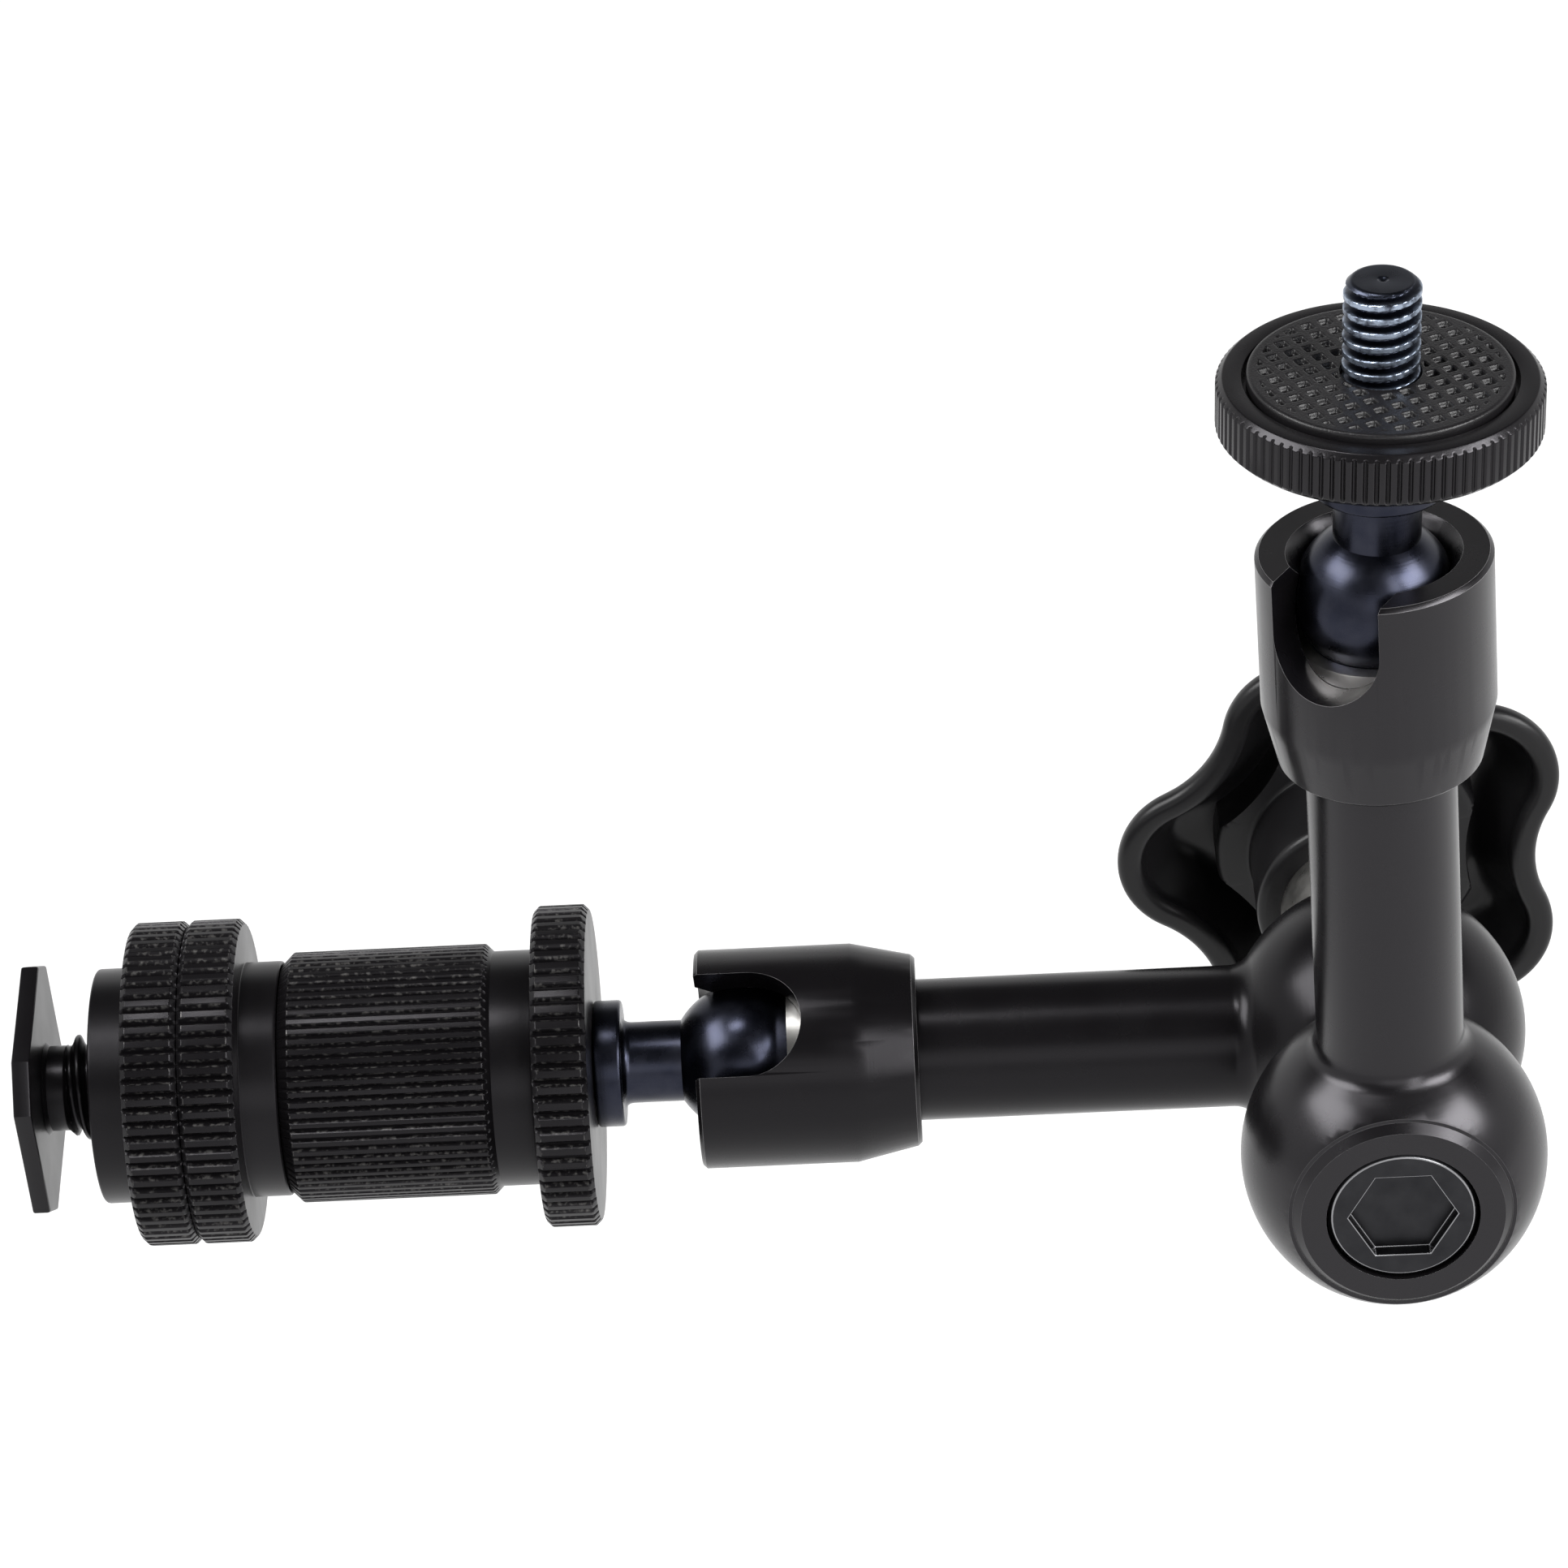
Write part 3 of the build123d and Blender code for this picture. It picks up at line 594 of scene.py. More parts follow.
@dataclass(frozen=True)
class PolishedSteel:
    """Turned steel: blued dark or bright, with tool marks, a mottled sheen and rubbed crests with a painted highlight.
    """

    name: str
    axis: Axis | None = None
    colour: tuple = (0.011, 0.013, 0.024, 1.0)
    tint: tuple = (0.045, 0.047, 0.062, 1.0)
    worn_and_glint: tuple | None = None
    roughness: float = 0.28
    grain_depth: float = 0.002
    marks_spacing: float = 0.10
    marks_depth: float = 0.004
    blotch: float = 0.12

    def material(self) -> bpy.types.Material:
        """Builds the material.

        Returns:
            The material.
        """
        shader = Shader.begin(self.name)
        grain = shader.group(GRAIN, grain_size=0.18, mottle_size=2.4)
        colour = shader.mix(grain.outputs["Mottle"], self.colour, self.tint)
        if self.worn_and_glint is not None:
            # crests lighter by the mask: rubbed bright steel and a painted highlight
            colour = shader.mix(shader.wear_and_glint(0.8, 0.32), colour, self.worn_and_glint)
        rough = shader.spread(grain.outputs["Mottle"], self.roughness - self.blotch, self.roughness + self.blotch)
        normal = shader.bump(grain.outputs["Grain"], self.grain_depth)
        if self.axis is not None:
            marks = shader.group(TURNING, spacing=self.marks_spacing)
            marks.inputs["Axis"].default_value = self.axis.direction()
            normal = shader.bump(marks.outputs["Marks"], self.marks_depth, normal)
        shader.set(Base_Color=colour, Roughness=rough, Normal=normal)
        shader.set(Metallic=1.0)
        return shader.material


@dataclass(frozen=True)
class Moulded:
    """Moulded black plastic or rubber: a pebbled skin with slow variation in sheen."""

    name: str
    colour: tuple = (0.0052, 0.0050, 0.0055, 1.0)
    roughness: float = 0.32
    specular: float = 0.26
    mottle: float = 1.5
    pebble: float = 0.30
    pebble_depth: float = 0.006

    def material(self) -> bpy.types.Material:
        """Builds the material.

        Returns:
            The material.
        """
        shader = Shader.begin(self.name)
        grain = shader.group(GRAIN, grain_size=self.pebble, mottle_size=7.0)
        lighter = tuple(c * self.mottle for c in self.colour[:3]) + (1.0,)
        colour = shader.mix(grain.outputs["Mottle"], self.colour, lighter)
        rough = shader.spread(grain.outputs["Mottle"], self.roughness - 0.06, self.roughness + 0.10)
        normal = shader.bump(grain.outputs["Grain"], self.pebble_depth)
        shader.set(Base_Color=colour, Roughness=rough, Normal=normal)
        shader.set(Specular_IOR_Level=self.specular)
        return shader.material


def dress(piece: bpy.types.Object, material: bpy.types.Material) -> None:
    """Gives a piece one material."""
    piece.data.materials.clear()
    piece.data.materials.append(material)


def mark_rub_and_glint(piece: bpy.types.Object, mask: np.ndarray) -> None:
    """Stores the mask of a piece's lighter edges (rubbed and painted glints) in its mesh, padded with zeros.

    Args:
        piece: the piece.
        mask: one value per vertex of its grid, from 0 to 1.
    """
    values = np.zeros(len(piece.data.vertices), np.float32)
    values[:mask.size] = mask.ravel()
    piece.data.attributes.new(RUB_AND_GLINT, "FLOAT", "POINT").data.foreach_set("value", values)


def dress_nodes(material: bpy.types.Material, *names: str) -> None:
    """Gives CAD nodes one material, by their slots only.

    Args:
        material: the material.
        names: the nodes' names.
    """
    for name in names:
        piece = frame["nodes"][name]
        if not piece.data.materials:
            piece.data.materials.append(material)
        for index in range(len(piece.material_slots)):
            piece.material_slots[index].link = "OBJECT"
            piece.material_slots[index].material = material


def hand_over(piece: bpy.types.Object, node: str, body: str) -> None:
    """Lets a new piece stand for a CAD node.

    Args:
        piece: the new piece.
        node: the node that it replaces.
        body: the node's body, on which it rides.
    """
    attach(piece, body)
    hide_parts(node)
    log.info("%s: %d faces in place of %s", piece.name, len(piece.data.polygons), node)


@dataclass(frozen=True)
class BrokenEdges:
    """A merged copy of a CAD node whose sharp edges are broken by a narrow bevel with its own finish."""

    node: str
    body: str
    slot: str
    width: float = 0.09
    corner: float = 28.0

    def build(self, finish: bpy.types.Material, edge: bpy.types.Material) -> bpy.types.Object:
        """Copies the node's mesh, merges its corners, joins what is flat and bevels what is sharp.

        Args:
            finish: the material of the surfaces.
            edge: the material of the broken edges.

        Returns:
            The new piece.
        """
        mesh = frame["nodes"][self.node].data.copy()
        shape = bmesh.new()
        shape.from_mesh(mesh)
        bmesh.ops.remove_doubles(shape, verts=shape.verts, dist=MERGE_WITHIN * MM)
        bmesh.ops.dissolve_limit(shape, angle_limit=math.radians(FLAT_WITHIN), verts=shape.verts, edges=shape.edges)
        shape.to_mesh(mesh)
        shape.free()
        mesh.name = f"{self.node}_edged"
        mesh.materials.clear()
        mesh.materials.append(finish)
        mesh.materials.append(edge)
        mesh.shade_smooth()
        piece = bpy.data.objects.new(mesh.name, mesh)
        bpy.context.scene.collection.objects.link(piece)
        bevel = piece.modifiers.new("broken edges", "BEVEL")
        bevel.width, bevel.segments = self.width * MM, 2
        bevel.limit_method, bevel.angle_limit = "ANGLE", math.radians(self.corner)
        # the bevel faces take the lighter edge finish: rubbed wear and a painted highlight
        bevel.material = 1
        piece.modifiers.new("flat faces", "WEIGHTED_NORMAL").weight = 80
        hand_over(piece, self.node, self.body)
        return piece


# Sub-assemblies

@dataclass(frozen=True)
class Thread:
    """A screw thread as a surface of revolution whose radius winds, with rolled crests and roots."""

    major: float
    pitch: float
    depth_share: float = 0.60
    crest_share: float = 0.32
    root_share: float = 0.12

    def radius(self, angles: np.ndarray, height: np.ndarray) -> np.ndarray:
        """The radius at angle a and height z: major - depth * (1 - tooth), where tooth is a triangle wave of the
        fraction of z / pitch - a / turn, clipped and then smoothed by s * s * (3 - 2 s).

        Args:
            angles: angles in radians, one per column.
            height: heights, one per station.

        Returns:
            An array of stations x angles.
        """
        phase = (height[:, None] / self.pitch - angles[None] / FULL_TURN) % 1.0
        flank = 1 - self.root_share - self.crest_share
        slope = np.clip((1 - np.abs(2 * phase - 1) - self.root_share) / flank, 0, 1)
        return self.major - self.pitch * self.depth_share * (1 - slope * slope * (3 - 2 * slope))


@dataclass(frozen=True)
class Knurl:
    """Straight flutes round a turned blank."""

    radius: float
    flutes: int
    depth: float
    crest_share: float = 0.56
    steps: int = 10
    groove_power: float = 0.7
    rub_glint_fall: float = 1.6
    rub_glint_lead: float = 0.02
    flank_rub_glint: float = 0.75
    crest_lead: float = 0.03
    full_within: float = 0.02

    def cut(self, radius: np.ndarray, angles: np.ndarray) -> np.ndarray:
        """The smaller of the blank's radius and the fluted radius R - depth * groove(a), where the groove is what
        a cosine wave of the angle has above the level that leaves the crests their share.

        Args:
            radius: the blank's radius at each station.
            angles: angles in radians.

        Returns:
            An array of stations x angles.
        """
        wave = 0.5 - 0.5 * np.cos(self.flutes * angles)
        level = 0.5 - 0.5 * math.cos(math.pi * self.crest_share)
        groove = np.clip((wave - level) / (1 - level), 0, 1) ** self.groove_power
        return np.minimum(radius[:, None], self.radius - self.depth * groove[None])

    def rub_and_glint(self, radius: np.ndarray, angles: np.ndarray) -> np.ndarray:
        """The mask of the crests' lighter edges, rubbed wear and painted glints, on the full radius only. The
        outermost stations are lightened all along the crest, and the others only on the line where the crest ends, by
        the share flank_rub_glint; that line falls off within a step of the grid.

        Args:
            radius: the blank's radius at each station.
            angles: angles in radians.

        Returns:
            An array of stations x angles, from 0 to 1.
        """
        phase = np.abs((self.flutes * angles / FULL_TURN) % 1.0 - 0.5)
        half = 0.5 - self.crest_share / 2
        line = np.clip(self.rub_glint_fall * (1 - np.abs(phase - half + self.rub_glint_lead) * self.steps), 0, 1)
        crest = (phase >= half - self.crest_lead).astype(float)
        full = radius > self.radius - self.full_within
        outermost = full & ~(np.roll(full, 1) & np.roll(full, -1))
        return np.where(outermost[:, None], np.maximum(crest, line), self.flank_rub_glint * line) * full[:, None]


def dense(profile: np.ndarray, inner: float, step: float, longest: float) -> np.ndarray:
    """A closed profile with points added where it lies beyond a radius, on all but its longest straight runs.

    Each run from p to q beyond the radius gets the points p + (q - p) * k / n, where n follows from the step.

    Args:
        profile: (radius, height) rows.
        inner: the radius beyond which points are added.
        step: the spacing of the added points.
        longest: runs longer than this are left alone.

    Returns:
        The denser profile.
    """
    following = np.roll(profile, -1, axis=0)
    lengths = np.linalg.norm(following - profile, axis=1)
    beyond = (profile[:, 0] > inner) & (following[:, 0] > inner) & (lengths < longest)
    counts = np.where(beyond, np.ceil(lengths / step), 1).astype(int)
    return np.concatenate([p + (q - p) * (np.arange(n) / n)[:, None] for p, q, n in
                           zip(profile, following, counts)])


@dataclass(frozen=True)
class KnurledPiece:
    """A turned ring with knurling, from a closed profile."""

    name: str
    node: str
    body: str
    corners: tuple
    knurl: Knurl
    step: float = 0.12
    longest: float = 1.2
    inner_margin: float = 0.9

    def build(self, axes: Axes) -> bpy.types.Object:
        """Carries the profile round the axis and cuts the flutes.

        Args:
            axes: the local frame, its third axis along the piece.

        Returns:
            The new piece.
        """
        angles = turn_steps(self.knurl.flutes * self.knurl.steps)
        inner = self.knurl.radius - self.knurl.depth - self.inner_margin
        profile = dense(rounded(list(self.corners), closed=True, steps=3), inner, self.step, self.longest)
        radius = self.knurl.cut(profile[:, 0], angles)
        piece = skin(self.name, revolve(radius, profile[:, 1], angles), axes, closed=True, crease=30.0)
        mark_rub_and_glint(piece, self.knurl.rub_and_glint(profile[:, 0], angles))
        return piece


@dataclass(frozen=True)
class ShoeAdapter:
    """The foot with its stud, the two lock nuts, the barrel and the thin lock disc."""

    foot_width: float = 18.6
    foot_length: float = 19.7
    foot_thickness: float = 1.6
    foot_corner: float = 3.45
    foot_turn: float = 12.0
    foot_edge: float = 0.22
    middle_ring: float = 0.6
    plate_ring: float = 6.0
    neck_radius: float = 3.85
    neck_length: float = 1.9
    neck_fillet: float = 0.35
    run_in: float = 1.0
    thread_in_nut: float = 0.4
    hidden_cut: float = 0.9
    end_chamfer: float = 0.6
    stud_end: float = 32.6
    stud: Thread = Thread(major=4.7625, pitch=1.5875, crest_share=0.12)
    nut_front: float = 6.6
    nut_hub: float = 10.6
    nut_hub_length: float = 3.4
    nut_ring: float = 5.0
    chamfer: float = 0.5
    nut_knurl: Knurl = Knurl(radius=14.6, flutes=70, depth=0.62)
    face_gap: float = 0.05
    barrel: float = 23.5
    barrel_length: float = 19.3
    barrel_knurl: Knurl = Knurl(radius=11.3, flutes=74, depth=0.42)
    barrel_end: float = 10.6
    barrel_end_length: float = 3.5
    disc_thickness: float = 4.9
    disc_knurl: Knurl = Knurl(radius=14.5, flutes=62, depth=0.62)
    thread_play: float = 0.06
    screw_radius: float = 3.175
    outline_steps: int = 12
    winding_step: float = 0.075

    def axes(self) -> Axes:
        """The adapter's frame: its third axis runs from the foot along the barrel."""
        return axes_along((0, 0, 0), joint("adapter_spin")["axis"], (0, 0, -1))

    def foot_outline(self, angles: np.ndarray) -> np.ndarray:
        """The foot's outline as a radius for each angle: the nearest of the sides' and the corners' lines, each
        at distance / cos(angle from its normal). The cosine is never under 0.05, which keeps a line's back far off.

        Args:
            angles: angles in radians.

        Returns:
            The radius of the outline at each angle.
        """
        half_x, half_y = self.foot_length / 2, self.foot_width / 2
        corner = (half_x + half_y - self.foot_corner) / math.sqrt(2)
        reach = np.full(len(angles), np.inf)
        for distance, normal in ((half_x, 0.0), (half_y, 90.0), (half_x, 180.0), (half_y, 270.0),
                                 (corner, 45.0), (corner, 135.0), (corner, 225.0), (corner, 315.0)):
            reach = np.minimum(reach, distance / np.maximum(np.cos(angles - math.radians(normal)), 0.05))
        return reach

    def outline_angles(self) -> np.ndarray:
        """Angles that pass through each corner of the foot's outline, with steps between them.

        Returns:
            The angles in radians, in order.
        """
        half_x, half_y, cut = self.foot_length / 2, self.foot_width / 2, self.foot_corner
        first = [math.atan2(half_y - cut, half_x), math.atan2(half_y, half_x - cut)]
        corners = sorted(first + [math.pi - a for a in first] + [math.pi + a for a in first]
                         + [FULL_TURN - a for a in first])
        ends = corners[1:] + [corners[0] + FULL_TURN]
        share = np.arange(self.outline_steps) / self.outline_steps
        return np.concatenate([a + (b - a) * share for a, b in zip(corners, ends)])

    def build_foot(self) -> bpy.types.Object:
        """The foot and its stud in one surface: plate, edge and neck, then a thread that winds until the front nut's
        hub hides it. Each ring is the outline set in, or the same radius all round.

        Returns:
            The new piece.
        """
        angles = self.outline_angles()
        outline = self.foot_outline(angles)
        edge, plate = self.foot_edge, self.foot_thickness
        inset = edge * np.array([2.0, 1.0, 0.3, 0.0, 0.0, 0.3, 1.0, 2.0])
        drop = edge * np.array([0.0, 0.0, 0.3, 1.0])
        height = np.concatenate([drop, plate - drop[::-1]])
        flat = outline[None] - inset[:, None]
        neck_top = plate + self.neck_length
        neck = np.array([[self.plate_ring, plate], [self.neck_radius + self.neck_fillet, plate],
                         [self.neck_radius, plate + self.neck_fillet], [self.neck_radius, neck_top - 0.3]])
        winding = np.arange(neck_top - 0.25, self.nut_front + self.thread_in_nut, self.winding_step)
        blank = np.interp(winding, [neck_top, neck_top + self.run_in], [self.neck_radius, self.stud.major])
        thread = np.minimum(self.stud.radius(angles, winding), blank[:, None])
        core = self.stud.major - self.hidden_cut
        end = np.array([[core, winding[-1] + 0.1], [core, self.stud_end - self.end_chamfer],
                        [core - self.end_chamfer, self.stud_end]])
        rings = [np.full((1, len(angles)), self.middle_ring * self.neck_radius), flat,
                 np.repeat(neck[:, :1], len(angles), axis=1), thread, np.repeat(end[:, :1], len(angles), axis=1)]
        heights = np.concatenate([[0.0], height, neck[:, 1], winding, end[:, 1]])
        turned = Axes(self.axes().origin, self.axes().matrix @ turn_about_third(self.foot_turn))
        return skin("shoe_foot_dressed", revolve(np.concatenate(rings), heights, angles), turned, closed=False)

    def nut(self, name: str, node: str, hub_first: bool, start: float) -> KnurledPiece:
        """A lock nut: a ring with a smooth hub, bored for the stud.

        Args:
            name: the new piece's name.
            node: the CAD node and the body that carry the nut's name.
            hub_first: whether the hub points to the foot.
            start: the height at which the nut begins.

        Returns:
            The nut, ready to be built.
        """
        bore = self.stud.major + self.thread_play
        hub, ring = self.nut_hub, self.nut_knurl.radius
        hub_end = start + self.nut_hub_length
        end = hub_end + self.nut_ring
        cut = self.chamfer
        corners = [(bore, start, 0.3), (hub, start, 0.35), (hub, hub_end, 0.15), (ring - cut, hub_end, 0.08),
                   (ring, hub_end + cut, 0.08), (ring, end - cut, 0.08), (ring - cut, end, 0.08), (bore, end, 0.2)]
        if not hub_first:
            corners = [(r, start + end - z, e) for r, z, e in corners]
        return KnurledPiece(name, node, node, tuple(corners), self.nut_knurl)

    def barrel_piece(self) -> KnurledPiece:
        """The barrel: knurled body, smooth end, and the two tapped holes as one stepped bore.

        Returns:
            The barrel, ready to be built.
        """
        start, knurl_end = self.barrel, self.barrel + self.barrel_length
        end = knurl_end + self.barrel_end_length
        bore = self.stud.major + self.thread_play
        radius = self.barrel_knurl.radius
        step = self.stud_end + self.face_gap
        cut, fall = 2 * self.chamfer, radius - self.barrel_end
        corners = ((bore, start, 0.2), (radius - cut, start, 0.1), (radius, start + cut, 0.1),
                   (radius, knurl_end - cut, 0.1), (self.barrel_end, knurl_end - cut + fall, 0.0),
                   (self.barrel_end, knurl_end, 0.1), (self.barrel_end, end, 0.35), (self.screw_radius, end, 0.2),
                   (self.screw_radius, step, 0.0), (bore, step, 0.0))
        return KnurledPiece("adapter_barrel_dressed", "adapter_barrel", "adapter", corners, self.barrel_knurl)

    def disc_piece(self) -> KnurledPiece:
        """The thin lock disc on the ball stud's thread.

        Returns:
            The disc, ready to be built.
        """
        start = self.barrel + self.barrel_length + self.barrel_end_length + self.face_gap
        end = start + self.disc_thickness
        bore, radius = self.screw_radius + self.thread_play, self.disc_knurl.radius
        cut = self.chamfer
        corners = ((bore, start, 0.2), (radius - cut, start, 0.08), (radius, start + cut, 0.08),
                   (radius, end - cut, 0.08), (radius - cut, end, 0.08), (bore, end, 0.2))
        return KnurledPiece("lock_disc_dressed", "lock_disc", "lock_disc", corners, self.disc_knurl)

    def build(self) -> None:
        """Builds and dresses the adapter's pieces."""
        # the knurls' edges lighter: rubbed wear and painted glints
        finish = Anodised("anodised adapter", Axis.ADAPTER, worn_and_glint=RUBBED_AND_GLINTING, roughness=0.30, specular=0.20).material()
        foot = self.build_foot()
        dress(foot, finish)
        hand_over(foot, "shoe_foot", "foot")
        rear = self.nut_front + self.nut_hub_length + self.nut_ring + self.face_gap
        for piece in (self.nut("lock_nut_front_dressed", "lock_nut_front", True, self.nut_front),
                      self.nut("lock_nut_rear_dressed", "lock_nut_rear", False, rear),
                      self.barrel_piece(), self.disc_piece()):
            made = piece.build(self.axes())
            dress(made, finish)
            hand_over(made, piece.node, piece.body)


def turn_about_third(degrees: float) -> np.ndarray:
    """The matrix of a turn about the third axis."""
    c, s = math.cos(math.radians(degrees)), math.sin(math.radians(degrees))
    return np.array([[c, -s, 0], [s, c, 0], [0, 0, 1]])


@dataclass(frozen=True)
class BallStud:
    """Ball, neck, flange and quarter-inch screw in one turned piece, its ball at the origin of its frame."""

    name: str
    node: str
    body: str
    shown_from: float
    ball: float = 6.75
    neck: float = 3.65
    flange: float = 5.7
    flange_start: float = 11.0
    flange_thickness: float = 2.5
    flange_round: float = 0.35
    neck_fillet: float = 0.8
    thread: Thread = Thread(major=3.175, pitch=1.27)
    reach: float = 29.3
    tip_chamfer: float = 0.6
    dimple: float = 0.45
    dimple_depth: float = 0.22
    columns: int = 160
    ball_rows: int = 64
    neck_rows: int = 18
    winding_step: float = 0.055
    run_in: float = 0.15
    run_in_cut: float = 0.35
    crest_rub_glint: float = 0.34
    crest_full: float = 0.30

    def build(self, axes: Axes) -> bpy.types.Object:
        """Turns the ball, neck and flange, and winds the thread above them.

        The ball is ball * (cos b, sin b) from the pole to where it meets the neck; the rest is the rounded
        profile, and the thread's radius is the smaller of the winding tooth and the chamfered blank.

        Args:
            axes: the local frame, its third axis toward the screw's tip.

        Returns:
            The new piece.
        """
        angles = turn_steps(self.columns)
        meet = math.asin(math.sqrt(1 - (self.neck / self.ball) ** 2))
        beta = np.linspace(-math.pi / 2 + 0.02, meet, self.ball_rows)
        ball = np.stack([self.ball * np.cos(beta), self.ball * np.sin(beta)], axis=1)
        face = self.flange_start + self.flange_thickness
        neck = rounded([(self.neck, ball[-1, 1] + 0.05, 0), (self.neck, self.flange_start, self.neck_fillet),
                        (self.flange, self.flange_start, self.flange_round), (self.flange, face, self.flange_round),
                        (self.thread.major, face, 0.0), (self.thread.major, self.shown_from, 0.0)], closed=False)
        winding = np.arange(self.shown_from, self.reach - 0.04, self.winding_step)
        blank = np.minimum(self.thread.major, self.thread.major - self.tip_chamfer + self.reach - winding)
        lead = np.interp(winding, [self.shown_from, self.shown_from + self.run_in],
                         [self.thread.major - self.run_in_cut, self.thread.major])
        screw = np.minimum(self.thread.radius(angles, winding), np.minimum(blank, lead)[:, None])
        tip = rounded([(self.thread.major - self.tip_chamfer - 0.02, self.reach - 0.03, 0),
                       (self.thread.major - self.tip_chamfer - 0.15, self.reach, 0.08), (self.dimple, self.reach, 0.1),
                       (0.1, self.reach - self.dimple_depth, 0)], closed=False)
        radius = np.concatenate([np.repeat(ball[:, :1], self.columns, axis=1),
                                 np.repeat(neck[:, :1], self.columns, axis=1), screw,
                                 np.repeat(tip[:, :1], self.columns, axis=1)])
        height = np.concatenate([ball[:, 1], neck[:, 1], winding, tip[:, 1]])
        piece = skin(self.name, revolve(radius, height, angles), axes, closed=False, crease=40.0)
        mask = np.zeros(radius.shape)
        first = len(ball) + len(neck)
        # the crests' mask: rubbed bright steel and a painted highlight
        rubbed_glint = np.clip((screw - self.thread.major + self.crest_rub_glint) / self.crest_full, 0, 1) ** 1.5
        mask[first:first + len(winding)] = rubbed_glint
        mark_rub_and_glint(piece, mask)
        return piece

    def dress(self, piece: bpy.types.Object, body: bpy.types.Material, thread: bpy.types.Material) -> None:
        """Gives the ball, neck and flange one finish and all that lies beyond the flange another.

        The neck's rows are its profile's six corners, and four more for each of the three that are rounded.

        Args:
            piece: the stud.
            body: the finish of the ball, neck and flange.
            thread: the finish of the screw.
        """
        dress(piece, body)
        piece.data.materials.append(thread)
        first = self.ball_rows + self.neck_rows
        rows = np.arange(len(piece.data.polygons)) // self.columns
        last = rows.max()
        index = ((rows >= first) & (rows != last - 1)).astype(np.int32)
        piece.data.polygons.foreach_set("material_index", index)
        piece.data.update()


